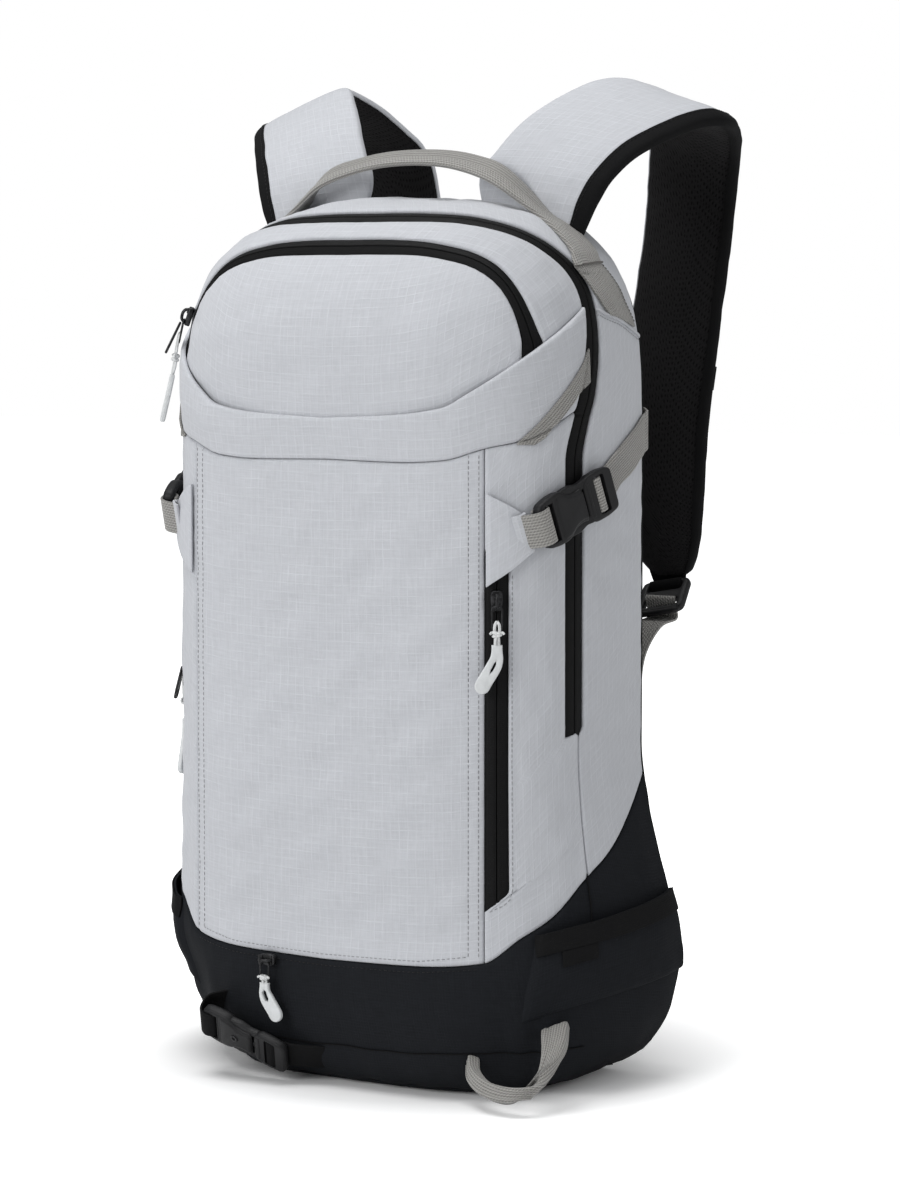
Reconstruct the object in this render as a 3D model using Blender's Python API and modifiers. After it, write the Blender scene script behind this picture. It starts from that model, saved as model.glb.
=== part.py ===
"""Ski backpack with a fold-down lid, side-release compression straps and shoulder straps.

Frame: metres, +Z up, the pack's front faces -Y, its back panel faces +Y, the origin is
the middle of the flat base.  A point of the pack's outer skin is named by its turn
(degrees, 0 at the front's middle, 90 at the rear edge, positive towards +X) and its run
(metres up the skin, from the base, over the arched top).
"""
import bmesh
import bpy
from math import atan2, copysign, cos, hypot, pi, radians, sin
from mathutils import Matrix, Vector

# ---- driving dimensions ----
FRONT_Y = -0.085          # front of the front panel
BACK_Y = 0.046            # rear edge of the fabric body
HALF_WIDTH = 0.1385
PLAN_POWER = 3.6          # squareness of the plan outline
ARCH_POWER = 3.1          # squareness of the arched top
SPINE_TOP = 0.385         # where the sides end and the arch begins
ARCH_HEIGHT = 0.134
ARCH_RUN = 0.21
TOP_LEAN = 0.010          # how far the top of the front leans back
RUN_TOP = SPINE_TOP + ARCH_RUN
SIDE_FLARE = [(0, -0.012), (0.006, -0.002), (0.02, 0.010), (0.045, 0.019), (0.075, 0.023),
              (0.105, 0.020), (0.135, 0.012), (0.165, 0.0045), (0.20, 0), (0.385, 0)]
SKIRT = [(0, -0.026), (0.006, -0.014), (0.02, -0.004), (0.045, 0.003), (0.07, 0.004),
         (0.095, 0.001), (0.12, 0), (0.385, 0)]
UNDERCUT = [(0, 0.016), (0.025, 0.015), (0.055, 0.010), (0.085, 0.0025), (0.11, 0), (0.385, 0)]

FABRIC = 0.0018           # sewn fabric panels with their lining
GAP = 0.0005              # clearance between neighbouring solids
SEWN_GAP = 0.0013         # clearance across a curved seam line
SEAM_GAP = 0.22           # the same clearance, in degrees of turn
FLOOR_THICK = 0.003

# seam lines of the skin: (turn, height) or (run, turn)
BASE_LINE = [(0, 0.0767), (25, 0.0782), (38.7, 0.0818), (46, 0.0953), (52, 0.1054),
             (61, 0.127), (67, 0.1366), (73, 0.147), (83, 0.166), (90, 0.181)]
YOKE_LOW = [(0, 0.3683), (21, 0.3675), (30, 0.369), (39, 0.376), (47, 0.3805),
            (54, 0.388), (60, 0.3956), (70, 0.401)]
YOKE_HIGH = [(0, 0.3925), (20, 0.395), (30, 0.399), (36, 0.408), (47, 0.427),
             (53, 0.437), (70, 0.463)]
ZIP_LINE = [(0.20, 60.3), (0.368, 60.2), (0.39, 62.3), (0.405, 64.8), (0.441, 67.8),
            (0.459, 68.4), (0.471, 67.4), (0.487, 64), (0.5055, 60), (0.523, 57),
            (0.558, 54), (0.595, 53.5)]
GOGGLE_LINE = [(0.40, 46.8), (0.4385, 48.6), (0.484, 48.6), (0.507, 47.2), (0.532, 44.8),
               (0.595, 43)]
PANEL_SEAM = 38.9         # turn of the front panel's side seams
GUSSET_SEAM = 61.4        # turn of the seam below the main zip's ends
MAIN_ZIP_END = 0.2165     # run of the main zip's lower ends
TAPE_TURN = 1.75          # half the main zip tape, in degrees of turn
TAPE_PART = 0.2           # half the parting between its two tapes
LID_SPLIT = 0.3945        # run where the lid's zip tape ends
FRONT_ZIP = (0.1185, 0.2985)
FRONT_ZIP_TURNS = (PANEL_SEAM + 0.3, 43.7)
GOGGLE_ZIP_TURN = 3.3     # width of the goggle zip's tape in degrees of turn

WEBBING = 0.0014          # webbing thickness
WEB_WIDTH = 0.020
STRAP_THICK = 0.010
SLOT_WIDTH = 0.0038                    # webbing slots of clips and ladder locks
BUCKLE_LIFT = 0.0094      # buckle centre above the chord it lies along
# shoulder strap: centre line, tilt of the width in degrees, width
STRAP_ROUTE = [((0.078, 0.027, 0.524), 10, 0.079), ((0.086, 0.033, 0.540), 11, 0.079),
               ((0.099, 0.048, 0.558), 15, 0.078), ((0.120, 0.075, 0.5745), 20, 0.075),
               ((0.131, 0.100, 0.5765), 20, 0.071), ((0.123, 0.136, 0.5665), 14, 0.064),
               ((0.110, 0.163, 0.544), 7, 0.059), ((0.105, 0.165, 0.505), 2, 0.058),
               ((0.105, 0.152, 0.455), 0, 0.059), ((0.105, 0.136, 0.400), 0, 0.060),
               ((0.106, 0.128, 0.345), 0, 0.058), ((0.110, 0.128, 0.312), 0, 0.048),
               ((0.113, 0.130, 0.292), 0, 0.034)]
STRAP_TOP = (0.078, 0.030, 0.515)      # upper end of the axis that the strap swings on
STRAP_FOOT = (0.123, 0.058, 0.140)     # where the lower webbing leaves the pack
LOOP_ENDS = ((0.096, -0.0815, 0.0210), (0.1490, -0.0620, 0.0375))
HIP_HINGE = (0.137, BACK_Y + 0.0245)   # x and y of the hip belt wings' folds

COLOURS = {
    "light_ripstop": ((0.58, 0.59, 0.62), 0.75, 0.0),
    "black_fabric": ((0.015, 0.016, 0.019), 0.8, 0.0),
    "mesh": ((0.008, 0.008, 0.008), 0.9, 0.0),
    "webbing": ((0.26, 0.25, 0.235), 0.8, 0.0),
    "plastic": ((0.02, 0.02, 0.022), 0.45, 0.0),
    "zip_tape": ((0.011, 0.011, 0.011), 0.7, 0.0),
    "pull": ((0.68, 0.70, 0.70), 0.6, 0.0),
    "metal": ((0.05, 0.05, 0.05), 0.35, 1.0),
    "foam": ((0.02, 0.02, 0.02), 0.95, 0.0),
    "frame_plastic": ((0.06, 0.06, 0.06), 0.5, 0.0),
    "aluminium": ((0.7, 0.7, 0.72), 0.35, 1.0),
    "lining": ((0.10, 0.10, 0.11), 0.9, 0.0),
}


def collection(name):
    found = bpy.data.collections.new(name)
    bpy.context.scene.collection.children.link(found)
    return found


for leftover in list(bpy.data.objects):
    bpy.data.objects.remove(leftover, do_unlink=True)
PARTS = collection("ski_backpack")
CUTTERS = collection("cutters")


def material(look, name):
    colour, roughness, metallic = COLOURS[look]
    made = bpy.data.materials.new(name)
    made.use_nodes = True
    shader = made.node_tree.nodes["Principled BSDF"]
    shader.inputs["Base Color"].default_value = (*colour, 1)
    shader.inputs["Roughness"].default_value = roughness
    shader.inputs["Metallic"].default_value = metallic
    return made


def add(name, mesh, look, smooth=30):
    """Link a mesh as a named part."""
    part = bpy.data.objects.new(name, mesh)
    PARTS.objects.link(part)
    part.data.materials.clear()
    part.data.materials.append(material(look, name))
    part.data.shade_smooth()
    part.data.set_sharp_from_angle(angle=radians(smooth))
    return part


# ---- the skin ----

def through(table, x):
    """Smooth curve through a table's points, without overshoot."""
    x = min(max(x, table[0][0]), table[-1][0])
    k = max(i for i in range(len(table) - 1) if x >= table[i][0])
    grade = [(b[1] - a[1]) / (b[0] - a[0]) for a, b in zip(table, table[1:])]

    def slope(i):
        if i in (0, len(table) - 1):
            return grade[min(i, len(grade) - 1)]
        if grade[i - 1] * grade[i] <= 0:
            return 0.0
        return 2 * grade[i - 1] * grade[i] / (grade[i - 1] + grade[i])

    (x0, y0), (x1, y1) = table[k], table[k + 1]
    t = (x - x0) / (x1 - x0)
    m0, m1 = slope(k) * (x1 - x0), slope(k + 1) * (x1 - x0)
    return ((2 * t**3 - 3 * t**2 + 1) * y0 + (t**3 - 2 * t**2 + t) * m0
            + (-2 * t**3 + 3 * t**2) * y1 + (t**3 - t**2) * m1)


def ease(x, low, high):
    t = min(1, max(0, (x - low) / (high - low)))
    return t * t * (3 - 2 * t)


def lerp(a, b, t):
    return a + (b - a) * t


def plan(turn):
    """Share of the half width and of the depth that a turn reaches."""
    across, fore = abs(sin(radians(turn))), abs(cos(radians(turn)))
    k = (across**PLAN_POWER + fore**PLAN_POWER) ** (-1 / PLAN_POWER)
    return across * k, fore * k


def arch_radius(lean):
    across = cos(lean) / HALF_WIDTH
    up = sin(lean) / ARCH_HEIGHT
    return (across**ARCH_POWER + up**ARCH_POWER) ** (-1 / ARCH_POWER)


def surface(turn, run):
    """Point of the skin, by turn and run; runs beyond the top come down the other side."""
    if run > RUN_TOP:
        run, turn = 2 * RUN_TOP - run, -turn
    out, fore = plan(turn)
    side = copysign(1, turn)
    depth = BACK_Y - FRONT_Y
    if run <= SPINE_TOP:
        skirt = through(SKIRT, run)
        flare = through(SIDE_FLARE, run) * ease(abs(turn), 38, 86)
        x = out * (HALF_WIDTH + 0.8 * skirt) + flare
        # the left front corner is drawn up over the base buckle
        cut = through(UNDERCUT, run) * ease(-turn, 20, 46) * (1 - ease(-turn, 78, 89))
        return Vector((side * x + 0.8 * cut, BACK_Y - fore * (depth + skirt) + 0.6 * cut, run))
    lean = (run - SPINE_TOP) / ARCH_RUN * pi / 2 * 0.999999
    r = out * arch_radius(lean)
    rise = r * sin(lean) / ARCH_HEIGHT
    y = BACK_Y - fore * (depth - TOP_LEAN * rise * rise)
    return Vector((side * r * cos(lean), y, SPINE_TOP + r * sin(lean)))


def outward(turn, run):
    step_turn, step_run = 0.4, 0.001
    if run > RUN_TOP - 2 * step_run:
        run = 2 * RUN_TOP - run if run > RUN_TOP + 2 * step_run else RUN_TOP - 2 * step_run
    along = surface(turn + step_turn, run) - surface(turn - step_turn, run)
    up = surface(turn, run + step_run) - surface(turn, max(0, run - step_run))
    return along.cross(up).normalized()


def skin(turn, run, lift=0.0):
    """Point of the skin, raised by lift."""
    point = surface(turn, run)
    if not lift:
        return point
    if run > RUN_TOP:
        run, turn = 2 * RUN_TOP - run, -turn
    return point + outward(turn, run) * lift


def run_at(turn, z):
    """Run of the skin point at a turn and a height."""
    if z <= SPINE_TOP:
        return z
    low, high = SPINE_TOP, RUN_TOP
    for _ in range(30):
        middle = (low + high) / 2
        if surface(turn, middle).z < z:
            low = middle
        else:
            high = middle
    return low


def on_front(x, z):
    """Point of the front skin at an x and a height."""
    low, high = 0.0, 90.0
    lean = atan2(z - SPINE_TOP, abs(x)) if z > SPINE_TOP else 0
    run = SPINE_TOP + ARCH_RUN * lean / (pi / 2) if z > SPINE_TOP else z
    reach = hypot(x, z - SPINE_TOP) if z > SPINE_TOP else abs(x)
    for _ in range(30):
        middle = (low + high) / 2
        size = plan(middle)[0] * arch_radius(lean) if z > SPINE_TOP else surface(middle, z).x
        if size < reach:
            low = middle
        else:
            high = middle
    return surface(copysign(low, x), run)


def at_height(turn, z):
    """Point of the skin at a turn and a height; the middle of the front has one too."""
    side = surface(turn, run_at(turn, z))
    inner = ease(abs(turn), 20, 36)
    if inner == 1:
        return side
    return on_front(lerp(surface(turn, SPINE_TOP).x, side.x, inner), z)


# ---- builders ----

def steps(low, high, count):
    return [low + (high - low) * i / count for i in range(count + 1)]


def sheet(name, place, us, vs, thickness, look, offset=-1.0):
    """A grid laid by place(u, v) and thickened; us and vs are its grid lines."""
    form = bmesh.new()
    bmesh.ops.create_grid(form, x_segments=len(us) - 1, y_segments=len(vs) - 1, size=1)
    for corner in form.verts:
        i = round((corner.co.x + 1) / 2 * (len(us) - 1))
        j = round((corner.co.y + 1) / 2 * (len(vs) - 1))
        corner.co = place(us[i], vs[j])
    mesh = bpy.data.meshes.new(name)
    form.to_mesh(mesh)
    form.free()
    part = add(name, mesh, look)
    thicken = part.modifiers.new("thickness", "SOLIDIFY")
    thicken.thickness = thickness
    thicken.offset = offset
    thicken.use_even_offset = True
    return part


def box(name, size, look, place=Matrix(), bevel=0.0008):
    """A bevelled block of the given size, in its own frame, set by place."""
    form = bmesh.new()
    bmesh.ops.create_cube(form, size=1)
    bmesh.ops.scale(form, vec=size, verts=form.verts)
    mesh = bpy.data.meshes.new(name)
    form.to_mesh(mesh)
    form.free()
    part = add(name, mesh, look)
    part.matrix_world = place
    if bevel:
        rounding = part.modifiers.new("bevel", "BEVEL")
        rounding.width = bevel
        rounding.segments = 2
    return part


def outline(name, loops, thickness, look, place=Matrix(), bevel=0.0):
    """A flat outline, with holes, centred on its own XY plane and extruded."""
    line = bpy.data.curves.new(name, "CURVE")
    line.dimensions = "2D"
    line.fill_mode = "BOTH"
    line.extrude = thickness / 2 - bevel
    line.bevel_depth = bevel
    line.bevel_resolution = 1
    line.offset = -bevel
    for loop in loops:
        spline = line.splines.new("POLY")
        spline.points.add(len(loop) - 1)
        for point, (x, y) in zip(spline.points, loop):
            point.co = (x, y, 0, 1)
        spline.use_cyclic_u = True
    part = bpy.data.objects.new(name, line)
    CUTTERS.objects.link(part)
    mesh = bpy.data.meshes.new_from_object(
        part.evaluated_get(bpy.context.evaluated_depsgraph_get()))
    bpy.data.objects.remove(part)
    form = bmesh.new()
    form.from_mesh(mesh)
    bmesh.ops.remove_doubles(form, verts=form.verts, dist=0.00001)
    form.to_mesh(mesh)
    form.free()
    part = add(name, mesh, look)
    part.matrix_world = place
    return part


def cut(part, cutter):
    """Boolean with a cutter that stays in the cutters' collection."""
    for home in list(cutter.users_collection):
        home.objects.unlink(cutter)
    CUTTERS.objects.link(cutter)
    cutter.hide_render = True
    cutter.display_type = "WIRE"
    boolean = part.modifiers.new("cut", "BOOLEAN")
    boolean.operation = "DIFFERENCE"
    boolean.object = cutter
    boolean.solver = "EXACT"
    return part


def frame_at(origin, along, normal):
    """Matrix with its X axis along a direction and its Z axis near a normal."""
    x = Vector(along).normalized()
    z = Vector(normal)
    z = (z - x * z.dot(x)).normalized()
    y = z.cross(x)
    frame = Matrix((x, y, z)).transposed().to_4x4()
    frame.translation = origin
    return frame


def mirrored(place):
    """The same placing on the pack's other side, still right-handed."""
    flip = Matrix.Diagonal((-1, 1, 1, 1))
    return flip @ place @ Matrix.Diagonal((1, -1, 1, 1))


def smooth_route(points, per_span=4):
    """Catmull-Rom curve through points of any length."""
    points = [Vector(p) for p in points]
    ends = [2 * points[0] - points[1]] + points + [2 * points[-1] - points[-2]]
    route = []
    for a, b, c, d in zip(ends, ends[1:], ends[2:], ends[3:]):
        for i in range(per_span):
            t = i / per_span
            route.append(0.5 * (2 * b + (c - a) * t + (2 * a - 5 * b + 4 * c - d) * t * t
                                + (3 * b - a - 3 * c + d) * t**3))
    return route + [points[-1]]


def ribbon(name, centres, acrosses, thickness, look):
    """A strip along centres; acrosses are its full width vectors there."""
    def place(u, v):
        return centres[v] + acrosses[v] * u
    return sheet(name, place, [-0.5, 0, 0.5], list(range(len(centres))), thickness, look, 0.0)


def rounded_rectangle(width, height, radius, corner=4, centre=(0, 0)):
    points = []
    for k, (sx, sy) in enumerate(((1, -1), (1, 1), (-1, 1), (-1, -1))):
        for i in range(corner + 1):
            a = pi / 2 * (k - 1 + i / corner)
            points.append((centre[0] + sx * (width / 2 - radius) + radius * cos(a),
                           centre[1] + sy * (height / 2 - radius) + radius * sin(a)))
    return points


# ---- fabric body ----

def zip_turn(run):
    return through(ZIP_LINE, min(run, 2 * RUN_TOP - run))


def goggle_turn(run):
    return through(GOGGLE_LINE, min(run, 2 * RUN_TOP - run))


def over_the_top(point_of):
    """Place function for a strip that climbs one side and comes down the other."""
    def place(u, v):
        point = point_of(u, 1 - abs(v))
        return Vector((copysign(point.x, -v) if v else 0.0, point.y, point.z))
    return place


def both_sides(levels):
    """Grid lines from -1 (right foot) over 0 (top) to 1 (left foot)."""
    rise = [level - 1 for level in levels]
    return rise + [-level for level in reversed(rise[:-1])]


def climb(stops, level):
    """Run at a level from 0 to 1 along a list of runs, evenly spaced in level."""
    place = level * (len(stops) - 1)
    k = min(int(place + 1e-6), len(stops) - 2)
    return lerp(stops[k], stops[k + 1], place - k)


def front_panel():
    def place(u, v):
        low, high = through(BASE_LINE, abs(u)) + SEWN_GAP, through(YOKE_LOW, abs(u)) - GAP
        return skin(u, lerp(low, high, v))
    edge = PANEL_SEAM - SEAM_GAP / 2
    turns = [-edge, -34, -28, -20, -10, 0, 10, 20, 28, 34, edge]
    sheet("front_panel", place, turns, steps(0, 1, 8), FABRIC, "light_ripstop")


def side_panel(name, side):
    """Fabric between the front panel's seam and the main zip."""
    low_edge, high_edge = GUSSET_SEAM - SEAM_GAP, -TAPE_TURN - 1.8 * SEAM_GAP

    def place(u, v):
        rear = low_edge
        if v >= 1:
            rear = zip_turn(lerp(MAIN_ZIP_END, YOKE_LOW[-2][1], v - 1)) + high_edge
        turn = lerp(PANEL_SEAM + SEAM_GAP / 2, rear, u)
        if v < 1:
            run = lerp(through(BASE_LINE, turn) + SEWN_GAP, MAIN_ZIP_END - 0.006, v)
        else:
            run = lerp(MAIN_ZIP_END - 0.001, run_at(turn, through(YOKE_LOW, turn)) - GAP, v - 1)
        return skin(side * turn, run)
    rows = steps(0, 0.999999, 3) + steps(1, 2, 6)
    columns = steps(0, 1, 5) if side > 0 else steps(1, 0, 5)
    return sheet(name, place, columns, rows, FABRIC, "light_ripstop")


def front_zip(panel):
    """Slot in the right side panel and the zip tape that fills it."""
    def slot(u, v):
        return skin(u, v, 0.004)
    low, high = FRONT_ZIP
    front, rear = FRONT_ZIP_TURNS
    cutter = sheet("front_zip_slot", slot, steps(front - 1.2, rear, 3),
                   steps(low, high, 5), 0.010, "zip_tape")
    cut(panel, cutter)

    def tape(u, v):
        return skin(u, v, -0.0002)
    sheet("front_zip_tape", tape, steps(front - 0.05, rear - 0.25, 3),
          steps(low + 0.0006, high - 0.0006, 6), 0.0012, "zip_tape")


def gusset():
    """Rear side fabric, from the base over the top to the base again."""
    stops = [0.0, 0.15, 0.2065, MAIN_ZIP_END - 0.001] + steps(0.25, 0.385, 3) \
        + steps(0.405, RUN_TOP, 11)
    levels = [i / (len(stops) - 1) for i in range(len(stops))]

    def point(u, level):
        k = round(level * (len(stops) - 1))
        run = stops[k]
        front = GUSSET_SEAM if k < 3 else zip_turn(run) + TAPE_TURN + SEAM_GAP
        turn = lerp(front, 89.6, u)
        if k < 3:
            run = lerp(through(BASE_LINE, turn) + SEWN_GAP, stops[2], k / 2)
        return skin(turn, run)
    sheet("gusset", over_the_top(point), steps(0, 1, 4), both_sides(levels), FABRIC,
          "light_ripstop")


def main_zip():
    stops = [MAIN_ZIP_END] + steps(0.25, 0.385, 3) + steps(0.405, RUN_TOP, 11)
    levels = [i / (len(stops) - 1) for i in range(len(stops))]

    def rear(u, level):
        run = climb(stops, level)
        return skin(zip_turn(run) + lerp(TAPE_PART, TAPE_TURN, u), run, -0.0002)
    sheet("main_zip_tape_rear", over_the_top(rear), [0, 1], both_sides(levels), 0.0012,
          "zip_tape")
    for name, side in (("main_zip_tape_right", 1), ("main_zip_tape_left", -1)):
        def front(u, v, side=side):
            return skin(side * (zip_turn(v) - lerp(TAPE_PART, TAPE_TURN, u)), v, -0.0002)
        sheet(name, front, [1, 0] if side > 0 else [0, 1],
              steps(MAIN_ZIP_END, LID_SPLIT - 0.003, 6), 0.0012, "zip_tape")

    lid_stops = steps(LID_SPLIT, RUN_TOP, 12)

    def lid(u, level):
        run = climb(lid_stops, level)
        return skin(zip_turn(run) - lerp(TAPE_TURN, TAPE_PART, u), run, -0.0002)
    sheet("main_zip_tape_lid", over_the_top(lid), [0, 1],
          both_sides(steps(0, 1, 12)), 0.0012, "zip_tape")


def lid_panels():
    """The yoke, the goggle pocket's front, its zip and the top panel."""
    def yoke(u, v):
        turn = u * (zip_turn(lerp(LID_SPLIT, 0.455, v)) - TAPE_TURN - 2.2 * SEAM_GAP)
        low, high = through(YOKE_LOW, abs(turn)) + GAP, through(YOKE_HIGH, abs(turn)) - SEWN_GAP
        return at_height(turn, lerp(low, high, v))
    sheet("yoke_panel", yoke, steps(-1, 1, 24), [0, 0.5, 1], FABRIC, "light_ripstop")

    pocket_foot = 0.4345

    def pocket(u, v):
        turn = u * 46.6
        foot = at_height(turn, through(YOKE_HIGH, abs(turn)) + SEWN_GAP)
        run = lerp(RUN_TOP, pocket_foot + 0.012, abs(u) ** 1.6)
        head = skin(copysign(goggle_turn(run) - 0.1, u), run)
        return on_front(lerp(foot.x, head.x, v), lerp(foot.z, head.z, v))
    sheet("goggle_panel", pocket, steps(-1, 1, 14), steps(0, 1, 6), FABRIC,
          "light_ripstop")

    levels = steps(0, 1, 13)

    def strip(low_turn, high_turn, lift, foot_gap):
        def point(u, level):
            foot = run_at(50, through(YOKE_HIGH, 50))
            turn = 50
            for _ in range(4):
                run = lerp(foot + foot_gap, RUN_TOP, level)
                turn = lerp(low_turn(run), high_turn(run), u)
                foot = run_at(turn, through(YOKE_HIGH, turn))
            return skin(turn, run, lift)
        return over_the_top(point)
    tape = strip(lambda run: goggle_turn(run) + 0.1,
                 lambda run: goggle_turn(run) + GOGGLE_ZIP_TURN - 0.1, -0.0002, 0.0016)
    sheet("goggle_zip_tape", tape, [0, 0.5, 1], both_sides(levels), 0.0012, "zip_tape")
    top = strip(lambda run: goggle_turn(run) + GOGGLE_ZIP_TURN + 0.15,
                lambda run: zip_turn(run) - TAPE_TURN - 3.2 * SEAM_GAP, 0, 0.0012)
    sheet("top_panel", top, steps(0, 1, 4), both_sides(levels), FABRIC, "light_ripstop")


def base():
    """Black base fabric, the flat floor and the side pockets."""
    def place(u, v):
        return skin(u, lerp(FLOOR_THICK + GAP, through(BASE_LINE, abs(u)), v))
    half = [12, 24, 34, PANEL_SEAM, 44, 50, 56, GUSSET_SEAM, 70, 80, 89.6]
    turns = [-turn for turn in reversed(half)] + [0] + half
    sheet("base_shell", place, turns, [0, 0.06, 0.16, 0.3, 0.5, 0.75, 1], FABRIC,
          "black_fabric")
    rim = [surface(turn, FLOOR_THICK) for turn in turns]
    points = [(p.x, p.y) for p in rim]
    raise_floor = Matrix.Translation((0, 0, FLOOR_THICK / 2))
    outline("base_floor", [points], FLOOR_THICK, "black_fabric", raise_floor)
    for name, side in (("side_pocket_right", 1), ("side_pocket_left", -1)):
        def pocket(u, v, side=side):
            turn = lerp(44.5, 89.4, u)
            low = through([(44, 0.050), (58, 0.0655), (90, 0.072)], turn)
            high = through([(44, 0.093), (57, 0.1015), (90, 0.1134)], turn)
            return skin(side * turn, lerp(low, high, v), 0.0026)
        sheet(name, pocket, steps(0, 1, 8) if side > 0 else steps(1, 0, 8),
              steps(0, 1, 3), 0.0018, "black_fabric")


def arch_outline(inset, low, count=14):
    """Rear outline of the pack, drawn in by inset, from a height low upwards."""
    points = []
    for i in range(count + 1):
        z = lerp(low, SPINE_TOP, (i / count) ** 0.8)
        points.append((surface(90, z).x - inset, z))
    for i in range(1, count + 1):
        p = surface(90, SPINE_TOP + ARCH_RUN * i / count)
        scale = 1 - inset / ARCH_HEIGHT
        points.append((p.x * scale, SPINE_TOP + (p.z - SPINE_TOP) * scale))
    return points + [(-x, z) for x, z in reversed(points[:-1])]


def upright(y):
    """Sets an outline drawn in XY upright in the XZ plane, centred on y."""
    return Matrix.Translation((0, y, 0)) @ Matrix.Rotation(pi / 2, 4, "X")


def back():
    outline("back_wall", [arch_outline(0.0006, 0.004)], 0.002, "black_fabric",
            upright(BACK_Y + 0.0014))
    outline("frame_sheet", [arch_outline(0.022, 0.030)], 0.0016, "frame_plastic",
            upright(BACK_Y - 0.0022))
    box("aluminium_stay", (0.022, 0.003, 0.40), "aluminium",
        Matrix.Translation((0, BACK_Y - 0.0052, 0.25)), 0.0006)
    pad_low = rounded_rectangle(0.236, 0.110, 0.022, 4, (0, 0.092))
    outline("lumbar_pad", [pad_low], 0.016, "foam", upright(BACK_Y + 0.0110), 0.004)
    points = [(0.105, 0.162), (0.108, 0.24), (0.108, 0.34), (0.104, 0.40), (0.092, 0.445),
              (0.074, 0.472), (0.050, 0.484), (0.022, 0.488)]
    rim = points + [(-x, z) for x, z in reversed(points)]
    outline("back_pad", [rim], 0.014, "foam", upright(BACK_Y + 0.0100), 0.004)


def inside():
    outline("divider", [rounded_rectangle(0.232, 0.33, 0.02, 3, (0, 0.185))], 0.004,
            "lining", upright(-0.026))
    outline("hydration_sleeve", [rounded_rectangle(0.17, 0.34, 0.02, 3, (0, 0.215))],
            0.004, "lining", upright(0.034))
    outline("tool_sleeve", [rounded_rectangle(0.13, 0.25, 0.012, 3, (-0.01, 0.16))],
            0.002, "lining", upright(-0.062))


# ---- zip sliders and pulls ----

def slider(name, place):
    """Zip slider: X along the track, Z away from the skin."""
    box(name, (0.0115, 0.0072, 0.0036), "metal", place, 0.0009)


def pull(name, place, length, grip):
    """Cord and rubber grip as one flat piece; X runs down it from the slider's bail."""
    cord, wide = 0.0012, 0.0045
    start = length - grip
    shape = [(0, -cord), (start - 0.004, -cord), (start, -wide * 0.7), (length - 0.006, -wide),
             (length - 0.0015, -wide * 0.7), (length, 0), (length - 0.0015, wide * 0.7),
             (length - 0.006, wide), (start, wide * 0.7), (start - 0.004, cord), (0, cord)]
    slot = rounded_rectangle(grip * 0.42, 0.0026, 0.0012, 2, (length - grip * 0.42, 0))
    outline(name, [shape, slot], 0.0028, "pull", place)


def track(turn, low, high, lift):
    """Frame on a zip track: X up the track, Z outwards, at the track's low end."""
    foot, head = skin(turn, low, lift), skin(turn, high, lift)
    middle = (low + high) / 2
    return frame_at(foot, head - foot, outward(turn, middle))


def hang(place, drop, stand, rest=None):
    """Frame of a pull hanging from a slider's bail, straight down or towards rest."""
    normal = place.to_3x3() @ Vector((0, 0, 1))
    normal.z = 0
    origin = place @ Vector((0, 0, stand)) + Vector((0, 0, -drop))
    return frame_at(origin, rest - origin if rest else (0, 0, -1), normal)


def zips():
    stand = 0.0042
    lift = 0.0024
    for name, turn, run, length, grip in (
            ("front", 41.3, 0.2900, 0.046, 0.028),
            ("main_upper", -60.25, 0.2405, 0.064, 0.034),
            ("main_lower", -60.25, 0.2235, 0, 0),
            ("goggle", -(goggle_turn(0.452) + GOGGLE_ZIP_TURN / 2), 0.4520, 0.060, 0.030)):
        place = track(turn, run, run + 0.01, lift)
        slider(name + "_slider", place)
        if length:
            rest = skin(turn, run - length, 0.0095) if name == "goggle" else None
            pull(name + "_pull", hang(place, 0.0068, stand, rest), length, grip)
    place = frame_at((-0.036, FRONT_Y - 0.0072, 0.0735), (1, 0, 0), (0, -1, 0))
    slider("base_slider", place)
    pull("base_pull", hang(place, 0.0045, stand - 0.0015), 0.0315, 0.020)


# ---- buckles ----

def socket(name, place, length=0.036, width=0.030, thick=0.0084):
    """Female half: a shell open at its far end, X towards the clip."""
    half, mouth = width / 2, 0.006
    shape = [(0, -half * 0.72), (length * 0.35, -half * 0.78), (length * 0.5, -half),
             (length, -half), (length, half), (length * 0.5, half),
             (length * 0.35, half * 0.78), (0, half * 0.72)]
    bar = rounded_rectangle(0.0035, width * 0.66, 0.001, 2, (0.0055, 0))
    part = outline(name, [shape, bar], thick, "plastic", place)
    room = box(name + "_room", (length - 0.012 + mouth, width - 0.0036, thick - 0.0030),
               "plastic", place @ Matrix.Translation(((length + mouth + 0.012) / 2, 0, 0)), 0)
    return cut(part, room)


def clip(name, place, reach=0.022, width=0.030, ladder=0.024):
    """Male half: prongs inside the socket, ladder bars outside; X as the socket's."""
    prong, half = width / 2 - 0.0026, width * 0.47
    fingers = [(-reach, -prong), (-reach, -prong * 0.62), (-0.004, -prong * 0.55),
               (-0.004, -prong * 0.18), (-reach * 0.9, -prong * 0.12),
               (-reach * 0.9, prong * 0.12), (-0.004, prong * 0.18),
               (-0.004, prong * 0.55), (-reach, prong * 0.62), (-reach, prong)]
    body = [(0.0006, prong), (0.0030, half), (ladder, half), (ladder, -half),
            (0.0030, -half), (0.0006, -prong)]
    slots = [rounded_rectangle(SLOT_WIDTH, half * 1.5, 0.001, 2, (x, 0))
             for x in (ladder * 0.36, ladder * 0.74)]
    return outline(name, [fingers + body] + slots, 0.0044, "plastic", place)


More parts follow.
